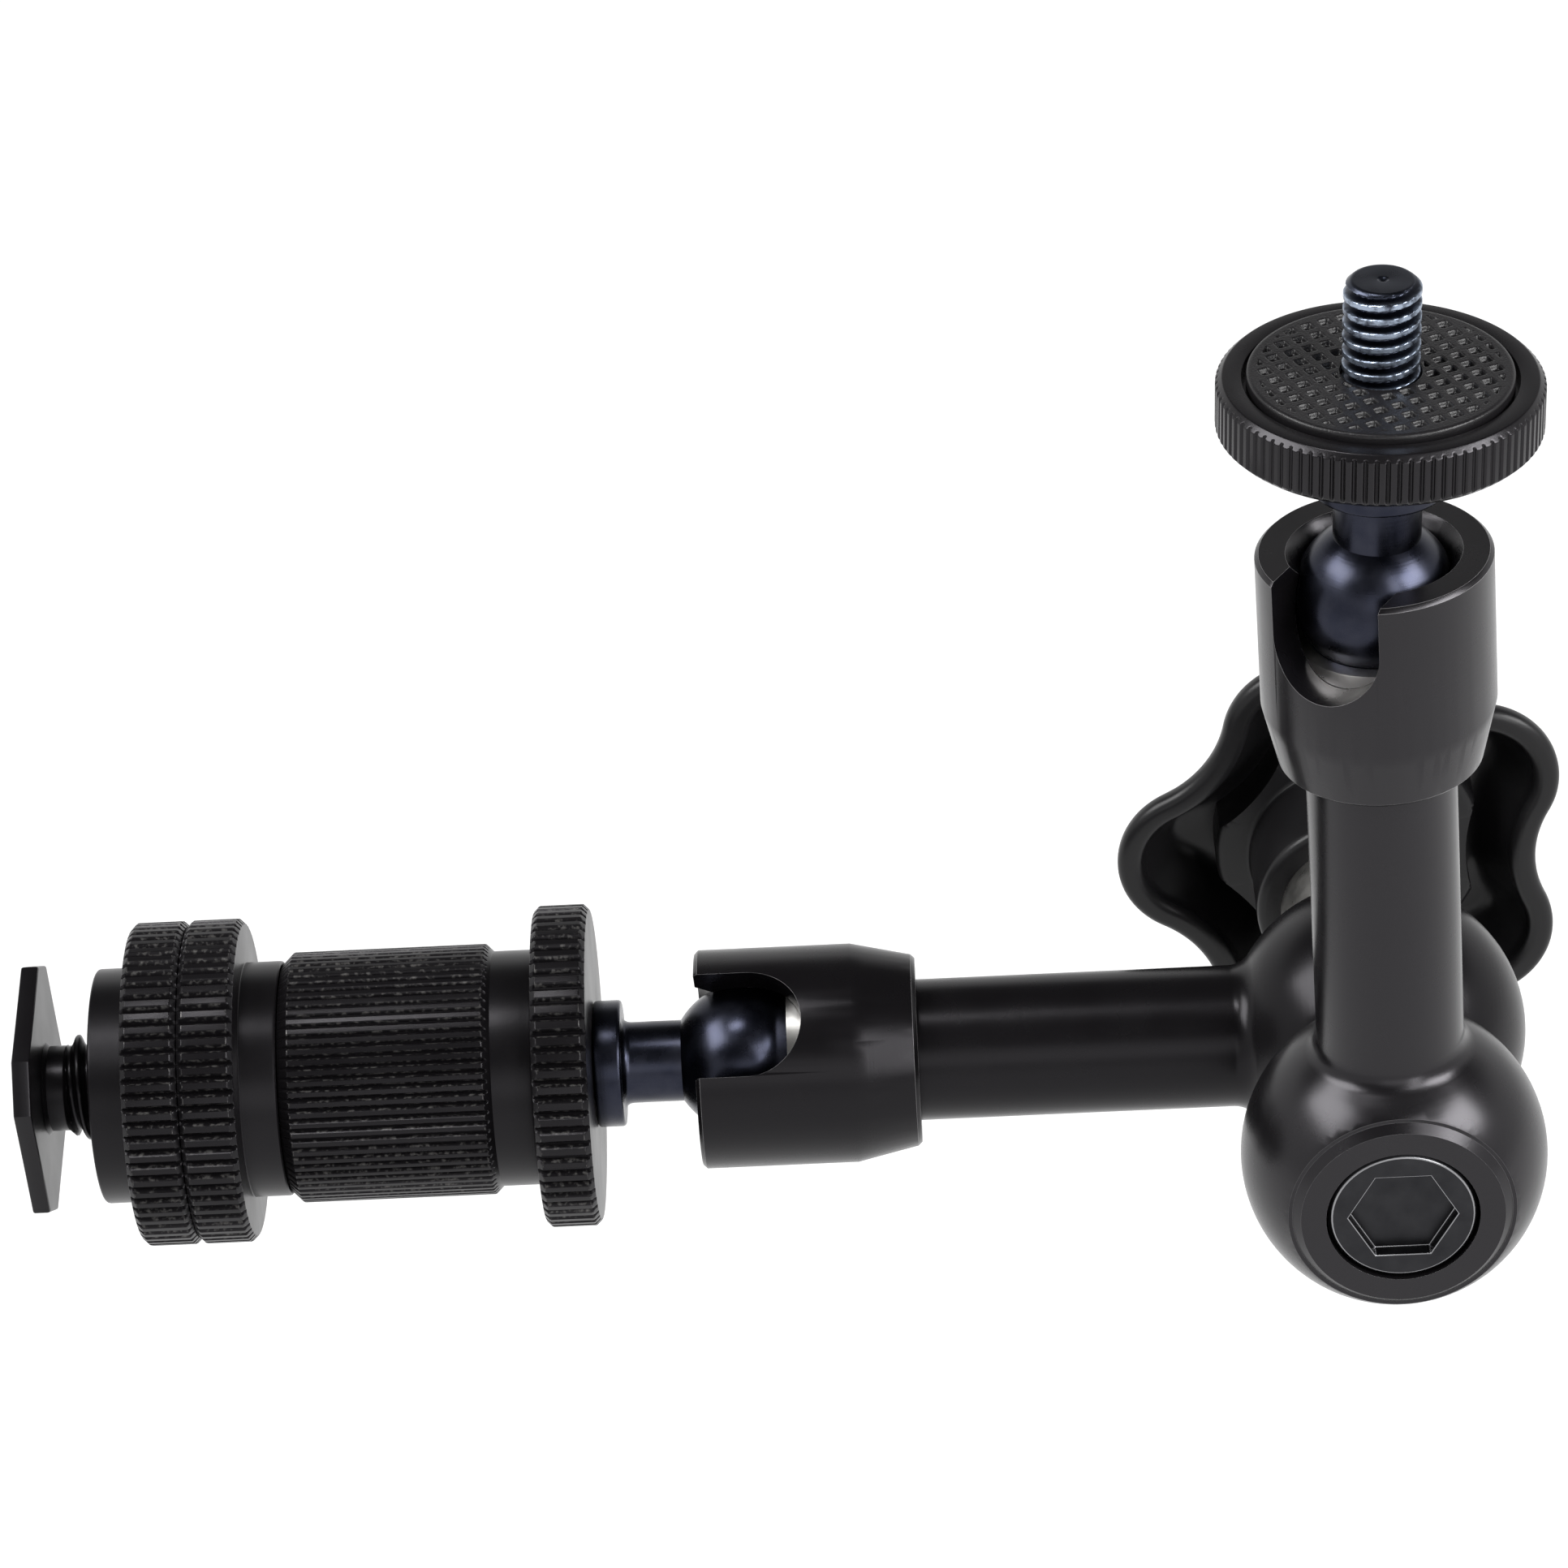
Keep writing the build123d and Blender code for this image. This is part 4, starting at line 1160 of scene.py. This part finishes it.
@dataclass(frozen=True)
class Platform:
    """The camera platform: ball stud A, the knurled disc and the rubber pad with its waffle of pits."""

    disc_bottom: float = 15.7
    disc_top: float = 20.45
    chamfer: float = 0.55
    knurl: Knurl = Knurl(radius=13.35, flutes=92, depth=0.26)
    bore: float = 3.235
    pad_radius: float = 10.85
    pad_hole: float = 3.275
    pad_thickness: float = 1.5
    pad_proud: float = 0.6
    pad_gap: float = 0.35
    pad_round: float = 0.4
    pad_hole_chamfer: float = 0.12
    pit_pitch: float = 1.66
    pit_share: float = 0.66
    pit_wall: float = 0.42
    pit_depth: float = 0.42
    pit_turn: float = 25.0
    pit_border: float = 0.85
    pit_bore_border: float = 0.3
    pit_fade: float = 0.2
    pad_columns: int = 720
    pad_rows: int = 96
    stud_sunk: float = 0.8

    def axes(self) -> Axes:
        """The stud's frame, with the ball at its origin."""
        spin = joint("platform_disc_spin")
        return axes_along(spin["pos_m"], spin["axis"], (1, 0, 0))

    def pit(self, x: np.ndarray, y: np.ndarray) -> np.ndarray:
        """How deep the waffle's pits are at each point, from 0 on the ridges to 1 at the bottoms.

        On a square net turned by an angle, u and v run from -1 to 1 across each pit. With s = (u^6 + v^6)^(1/6),
        which keeps the corners square, and t = (1 - s) / wall kept within 0 and 1, the pit is t * t * (3 - 2 t).

        Args:
            x: first coordinates in millimetres.
            y: second coordinates in millimetres.

        Returns:
            The depth's share at each point.
        """
        c, d = math.cos(math.radians(self.pit_turn)), math.sin(math.radians(self.pit_turn))
        half = self.pit_pitch / 2
        pitch, wide = self.pit_pitch, half * self.pit_share
        u, v = (((w + half) % pitch - half) / wide for w in (c * x + d * y, c * y - d * x + half))
        t = np.clip((1 - (u ** 6 + v ** 6) ** (1 / 6)) / self.pit_wall, 0, 1)
        return t * t * (3 - 2 * t)

    def build_pad(self) -> bpy.types.Object:
        """The pad: a closed ring whose top, flat but for its rounded rim, sinks by pit_depth times the waffle.

        Returns:
            The new piece.
        """
        angles = turn_steps(self.pad_columns)
        bottom = self.disc_top - self.pad_thickness + self.pad_proud
        top = self.disc_top + self.pad_proud
        cut = self.pad_hole_chamfer
        across = np.linspace(self.pad_hole + cut, self.pad_radius - self.pad_round, self.pad_rows)
        rim = rounded([(self.pad_radius - self.pad_round, top, 0), (self.pad_radius, top, self.pad_round - 0.05),
                       (self.pad_radius, bottom, 0)], closed=False)[1:]
        stations = np.concatenate([[[self.pad_hole, bottom], [self.pad_hole, top - cut]],
                                   np.stack([across, np.full(len(across), top)], axis=1), rim])
        radius = np.repeat(stations[:, :1], len(angles), axis=1)
        inside = np.clip((self.pad_radius - self.pit_border - radius) / self.pit_fade, 0, 1)
        outside = np.clip((radius - self.pad_hole - self.pit_bore_border) / self.pit_fade, 0, 1)
        sink = self.pit(radius * np.cos(angles), radius * np.sin(angles)) * inside * outside * self.pit_depth
        return skin("platform_pad_dressed", revolve(radius, stations[:, 1:] - sink, angles), self.axes(),
                    closed=True, crease=60.0)

    def build(self) -> None:
        """Builds and dresses the platform's pieces."""
        rim = self.pad_radius + self.pad_gap
        recess = self.disc_top - self.pad_thickness + self.pad_proud
        radius, cut = self.knurl.radius, self.chamfer
        corners = ((self.bore, self.disc_bottom, 0.2), (radius - cut, self.disc_bottom, 0.08),
                   (radius, self.disc_bottom + cut, 0.08), (radius, self.disc_top - cut, 0.08),
                   (radius - cut, self.disc_top, 0.08), (rim, self.disc_top, 0.12), (rim, recess, 0.0),
                   (self.bore, recess, 0.1))
        disc = KnurledPiece("platform_disc_dressed", "platform_disc", "platform_disc", corners, self.knurl)
        made = disc.build(self.axes())
        dress(made, Anodised("anodised platform", Axis.STUD_A, specular=0.30).material())
        hand_over(made, "platform_disc", "platform_disc")
        pad = self.build_pad()
        dress(pad, Moulded("pad rubber", colour=(0.0056, 0.0052, 0.0058, 1.0), roughness=0.30, specular=0.28,
                           pebble=0.16, pebble_depth=0.025).material())
        hand_over(pad, "platform_pad", "platform_disc")
        stud = BallStud("ball_stud_a_dressed", "ball_stud_a", "stud_a",
                        self.disc_top + self.pad_proud - self.stud_sunk, flange_start=10.4, flange_thickness=3.1)
        screw = stud.build(self.axes())
        # the thread lighter steel than the ball, its crests lighter still: rubbed steel and a painted highlight
        threaded = PolishedSteel("blued screw thread", Axis.STUD_A, (0.024, 0.028, 0.042, 1.0),
                                 (0.060, 0.066, 0.088, 1.0), CREST_WEAR_AND_HIGHLIGHT, roughness=0.30)
        stud.dress(screw, PolishedSteel("blued steel stud A", Axis.STUD_A).material(), threaded.material())
        hand_over(screw, "ball_stud_a", "stud_a")


@dataclass(frozen=True)
class Arms:
    """The two arms with their bulbs, sockets, seat cups and rods."""

    # arm A's anodising given a stronger sheen and arm B's a weaker one: painted light and painted shade
    gloss_lit_a: float = 0.37
    gloss_shaded_b: float = 0.19
    # the seat cups' and push rods' steel painted lighter on arm A and darker on arm B: painted light and shade
    bare_lit_a: float = 0.85
    bare_shaded_b: float = 0.42
    stud_b_shown_from: float = 29.0

    def build(self) -> None:
        """Dresses the arms' pieces and builds arm B's ball stud."""
        for side, axis, painted_gloss, painted_bare in (("a", Axis.ARM_A, self.gloss_lit_a, self.bare_lit_a),
                                        ("b", Axis.ARM_B, self.gloss_shaded_b, self.bare_shaded_b)):
            # the same anodising with a painted lit or shaded sheen for each arm
            satin = Anodised(f"anodised arm {side.upper()}", axis, specular=painted_gloss).material()
            # the bevels' lighter finish: rubbed edges and a painted highlight along them
            edge = Anodised(f"rubbed edge {side.upper()}", colour=(0.10, 0.098, 0.10, 1.0), specular=0.5).material()
            for node in (f"arm_{side}", f"socket_{side}"):
                BrokenEdges(node, f"arm_{side}", "anodised").build(satin, edge)
            # the same steel at a painted lit or shaded level for each arm
            bright = PolishedSteel(f"bright steel {side.upper()}", axis, (painted_bare, 0.98 * painted_bare, 0.95 * painted_bare, 1.0),
                                   (1.1 * painted_bare, 1.08 * painted_bare, 1.04 * painted_bare, 1.0), roughness=0.32)
            dress_nodes(bright.material(), f"seat_cup_{side}", f"push_rod_{side}")
        ball = joint("ball_b_tilt")
        stud = BallStud("ball_stud_b_dressed", "ball_stud_b", "adapter", self.stud_b_shown_from)
        toward_foot = tuple(-c for c in joint("adapter_spin")["axis"])
        screw = stud.build(axes_along(ball["pos_m"], toward_foot, (0, -1, 0)))
        dress(screw, PolishedSteel("blued steel stud B", Axis.ADAPTER).material())
        hand_over(screw, "ball_stud_b", "adapter")


@dataclass(frozen=True)
class ElbowLock:
    """The lobed hand knob with what it tightens: insert, washers, wedges, spring and bolt."""

    lobes: int = 5
    turn: float = 1.3
    tip: float = 21.9
    valley: float = 17.3
    lobe_round: float = 7.9
    wall: float = 2.4
    depth: float = 9.6
    straight: float = 1.6
    lean: float = 31.0
    floor: float = 3.0
    hub: float = 9.4
    hub_lead: float = 8.0
    boss: float = 12.6
    boss_sink: float = 1.8
    rim_round: float = 0.9
    rim_steps: int = 7
    back_edge: float = 1.2
    back_ring: float = 6.0
    floor_ring: float = 2.5
    insert: float = 6.0
    columns: int = 360

    def outline(self, angles: np.ndarray, inset: float) -> np.ndarray:
        """The lobed outline as a radius for each angle.

        Near a lobe's middle it is the far side of the lobe's circle, a cos u + sqrt(p^2 - a^2 sin^2 u), and near a
        valley's the near side of the valley's circle, b cos v - sqrt(q^2 - b^2 sin^2 v); they meet where the two
        circles touch. The inset makes p smaller and q larger.

        Args:
            angles: angles in radians.
            inset: how far the outline is set in.

        Returns:
            The radius at each angle.
        """
        half = math.pi / self.lobes
        a = self.tip - self.lobe_round
        waist = self.valley - self.lobe_round
        b = (a * a - waist * waist) / 2 / (a * math.cos(half) - waist)
        p = self.lobe_round - inset
        q = b - self.valley + inset
        share = p / (p + q)
        touch_x = a + (b * math.cos(half) - a) * share
        touch_y = b * math.sin(half) * share
        touch = math.atan2(touch_y, touch_x)
        u = np.abs((angles % (2 * half)) - half)
        lobe = a * np.cos(u) + np.sqrt(np.maximum(p * p - (a * np.sin(u)) ** 2, 0))
        v = half - u
        valley = b * np.cos(v) - np.sqrt(np.maximum(q * q - (b * np.sin(v)) ** 2, 0))
        return np.where(u < touch, lobe, valley)

    def build_knob(self) -> bpy.types.Object:
        """The knob as one closed surface: its lobed stations follow the outline, and its hub's are round.

        Returns:
            The new piece.
        """
        angles = turn_steps(self.columns)
        slope = math.tan(math.radians(self.lean))
        edge_z = self.depth - self.back_edge
        edge_in = (edge_z - self.straight) * slope
        floor_z = self.depth - self.floor
        floor_in = self.wall + (floor_z - self.straight) * slope
        arc = np.linspace(0, math.pi / 2, self.rim_steps)
        r = self.rim_round
        outer = [(r - r * math.sin(t), r - r * math.cos(t)) for t in arc]
        back = rounded([(0, r, 0), (0, self.straight, 0.5), (edge_in, edge_z, 0.8),
                        (edge_in + 2 * self.back_edge, self.depth, 0.5),
                        (edge_in + self.back_ring, self.depth, 0)], closed=False)
        outside = np.array(outer + back[1:-1].tolist())
        inside = rounded([(floor_in + self.floor_ring, floor_z, 0), (floor_in, floor_z, 1.0),
                          (self.wall, self.straight, 0.5), (self.wall, r, 0)], closed=False)[1:]
        inner = [(self.wall - r + r * math.cos(t), r - r * math.sin(t)) for t in arc]
        inside = np.concatenate([inside, np.array(inner)])
        lobed_out = np.stack([self.outline(angles, inset) for inset in outside[:, 0]])
        lobed_in = np.stack([self.outline(angles, inset) for inset in inside[:, 0]])
        hub = rounded([(self.insert, self.depth, 0.3), (self.insert, -self.hub_lead, 0.2),
                       (self.hub, -self.hub_lead, 0.9), (self.hub, self.boss_sink, 0.5),
                       (self.boss, self.boss_sink, 0.9), (self.boss, floor_z, 0.0)], closed=False)
        hub = np.concatenate([[[self.insert + 0.3, self.depth], [self.insert, self.depth - 0.3]], hub[1:]])
        limit = lobed_in[0] - 0.05
        round_part = np.minimum(hub[:, :1], np.where(hub[:, 1:] > self.boss_sink - 0.1, limit[None], np.inf))
        radius = np.concatenate([lobed_out, round_part, lobed_in])
        height = np.concatenate([outside[:, 1], hub[:, 1], inside[:, 1]])
        turned = Axes(self.axes().origin, self.axes().matrix @ turn_about_third(self.turn))
        return skin("lock_knob_dressed", revolve(radius, height, angles), turned, closed=True, crease=40.0)

    def axes(self) -> Axes:
        """The knob's frame.

        Returns:
            The frame, its origin in the rim's plane and its third axis away from the elbow.
        """
        knob = joint("knob_turn")
        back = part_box("lock_knob")[1][1]
        place = (knob["pos_m"][0], back - self.depth * MM, knob["pos_m"][2])
        return axes_along(place, knob["axis"], (1, 0, 0))

    def build(self) -> None:
        """Builds the knob and dresses what is on the elbow's axis."""
        knob = self.build_knob()
        dress(knob, Moulded("knob plastic").material())
        hand_over(knob, "lock_knob", "knob")
        steel = PolishedSteel("bright steel elbow", Axis.ELBOW, colour=(0.50, 0.49, 0.47, 1.0),
                              tint=(0.62, 0.61, 0.58, 1.0), roughness=0.30)
        dress_nodes(steel.material(), "wedge_a", "wedge_b", "release_spring", "thrust_washer", "knob_insert")
        oxide = PolishedSteel("black oxide bolt", Axis.ELBOW, colour=(0.016, 0.016, 0.018, 1.0),
                              tint=(0.042, 0.042, 0.045, 1.0), roughness=0.40, marks_depth=0.006)
        # the bolt's bevelled edges lighter: rubbed steel and a painted highlight
        rubbed_glint = PolishedSteel("rubbed bolt edge", colour=(0.22, 0.22, 0.23, 1.0), tint=(0.30, 0.30, 0.31, 1.0))
        BrokenEdges("axle_bolt", "bolt", "bolt_steel", 0.12).build(oxide.material(), rubbed_glint.material())
        dress_nodes(Moulded("nylon washer", colour=(0.03, 0.03, 0.03, 1.0), roughness=0.5).material(), "elbow_washer")


# Studio

@dataclass(frozen=True)
class SoftBox:
    """A soft box aimed at the elbow: where it stands, as a direction and a distance in metres, its sides in metres
    and its power in watts. The width runs level."""

    name: str
    toward: tuple
    distance: float
    width: float
    height: float
    power: float

    def build(self, aim: np.ndarray) -> None:
        """Hangs the box so that it faces the aim.

        Args:
            aim: the point that it faces, in metres.
        """
        data = bpy.data.lights.new(self.name, "AREA")
        data.shape = "RECTANGLE"
        data.size, data.size_y, data.energy = self.width, self.height, self.power
        lamp = bpy.data.objects.new(self.name, data)
        axes = axes_along(tuple(aim), self.toward, (-self.toward[1], self.toward[0], 0.0))
        matrix = np.eye(4)
        matrix[:3, :3], matrix[:3, 3] = axes.matrix, aim + axes.matrix[:, 2] * self.distance
        lamp.matrix_world = Matrix(matrix.tolist())
        bpy.context.scene.collection.objects.link(lamp)


SOFT_BOXES = (
    SoftBox("softbox_right", (0.720, -0.330, 0.610), 0.85, 0.50, 0.34, 8.4),
    SoftBox("softbox_left", (-0.715, -0.080, 0.695), 0.85, 0.54, 0.36, 6.5),
    SoftBox("softbox_top", (-0.240, -0.057, 0.969), 0.90, 0.12, 0.24, 2.2),
    SoftBox("softbox_front", (0.10, -0.93, 0.35), 1.10, 0.90, 0.50, 1.2),
    SoftBox("softbox_near", (0.426, -0.756, 0.504), 1.00, 0.22, 0.80, 3.8),
)


@dataclass(frozen=True)
class Studio:
    """The floor, the light and the camera."""

    camera_at: tuple = (0.08453, -0.45608, 0.31740)
    right: tuple = (0.99857, -0.00156, -0.05344)
    up: tuple = (0.04599, 0.53500, 0.84360)
    lens: float = 141.36
    sensor: float = 36.0
    floor_size: float = 6.0
    floor_gap: float = 0.072
    floor_glow: float = 0.80
    floor_colour: float = 0.24
    walls: float = 0.9
    ceiling: float = 0.06
    wall_top: tuple = (0.28, 0.56)

    def build_camera(self) -> None:
        """Places the camera as the photograph's, by its right and up directions."""
        data = bpy.data.cameras.new("camera")
        data.lens = self.lens
        data.sensor_width = self.sensor
        data.sensor_fit = "HORIZONTAL"
        data.clip_start, data.clip_end = 0.01, 50.0
        camera = bpy.data.objects.new("camera", data)
        right, up = np.array(self.right), np.array(self.up)
        back = np.cross(right, up)
        matrix = np.eye(4)
        matrix[:3, 0], matrix[:3, 1], matrix[:3, 2], matrix[:3, 3] = right, up, back, self.camera_at
        camera.matrix_world = Matrix(matrix.tolist())
        bpy.context.scene.collection.objects.link(camera)
        bpy.context.scene.camera = camera

    def build_floor(self) -> None:
        """A pale floor, white to the camera but for the object's shadow, low enough for the arms to swing clear."""
        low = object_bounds()[0][2] - self.floor_gap
        half = self.floor_size / 2
        corners = [(-half, -half, low), (half, -half, low), (half, half, low), (-half, half, low)]
        mesh = bpy.data.meshes.new("floor")
        mesh.from_pydata(corners, [], [(0, 1, 2, 3)])
        floor = bpy.data.objects.new("floor", mesh)
        bpy.context.scene.collection.objects.link(floor)
        material = bpy.data.materials.new("floor")
        material.use_nodes = True
        tree = material.node_tree
        tree.nodes.clear()
        path = tree.nodes.new("ShaderNodeLightPath")
        seen = math_node(tree, "MAXIMUM", path.outputs["Is Camera Ray"], path.outputs["Is Glossy Ray"], True)
        seen = math_node(tree, "MAXIMUM", seen, path.outputs["Is Transmission Ray"], True)
        glow = tree.nodes.new("ShaderNodeEmission")
        tree.links.new(math_node(tree, "MULTIPLY", seen, self.floor_glow), glow.inputs["Strength"])
        matt = tree.nodes.new("ShaderNodeBsdfDiffuse")
        matt.inputs["Color"].default_value = (self.floor_colour,) * 3 + (1.0,)
        both = tree.nodes.new("ShaderNodeAddShader")
        tree.links.new(glow.outputs[0], both.inputs[0])
        tree.links.new(matt.outputs[0], both.inputs[1])
        sink = tree.nodes.new("ShaderNodeOutputMaterial")
        tree.links.new(both.outputs[0], sink.inputs["Surface"])
        dress(floor, material)
        floor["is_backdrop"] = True

    def build_world(self) -> None:
        """White walls all round and a dim ceiling: the strength falls from the walls' to the ceiling's with the
        height of the direction."""
        world = bpy.data.worlds.new("world")
        bpy.context.scene.world = world
        world.use_nodes = True
        tree = world.node_tree
        direction = tree.nodes.new("ShaderNodeSeparateXYZ")
        tree.links.new(tree.nodes.new("ShaderNodeTexCoord").outputs["Generated"], direction.inputs[0])
        fall = tree.nodes.new("ShaderNodeMapRange")
        fall.interpolation_type = "SMOOTHSTEP"
        fall.inputs["From Min"].default_value, fall.inputs["From Max"].default_value = self.wall_top
        fall.inputs["To Min"].default_value, fall.inputs["To Max"].default_value = self.walls, self.ceiling
        tree.links.new(direction.outputs["Z"], fall.inputs["Value"])
        tree.links.new(fall.outputs["Result"], tree.nodes["Background"].inputs["Strength"])
        tree.nodes["Background"].inputs["Color"].default_value = (1.0, 1.0, 1.0, 1.0)

    def build_lamps(self) -> None:
        """A soft box high on each side, a wide dim one in front and a tall one beside the camera."""
        elbow = np.array(joint("elbow_turn")["pos_m"])
        for box in SOFT_BOXES:
            box.build(elbow)

    def build(self) -> None:
        """Builds the studio."""
        self.build_camera()
        self.build_floor()
        self.build_world()
        self.build_lamps()
        bpy.context.scene.view_settings.view_transform = "Standard"


def main() -> None:
    """Builds and dresses every sub-assembly, then the studio."""
    logging.basicConfig(level=logging.INFO, format="%(name)s: %(message)s")
    for assembly in (ShoeAdapter(), Platform(), Arms(), ElbowLock()):
        log.info("building %s", type(assembly).__name__)
        assembly.build()
    Studio().build()


if __name__ == "__main__":
    main()
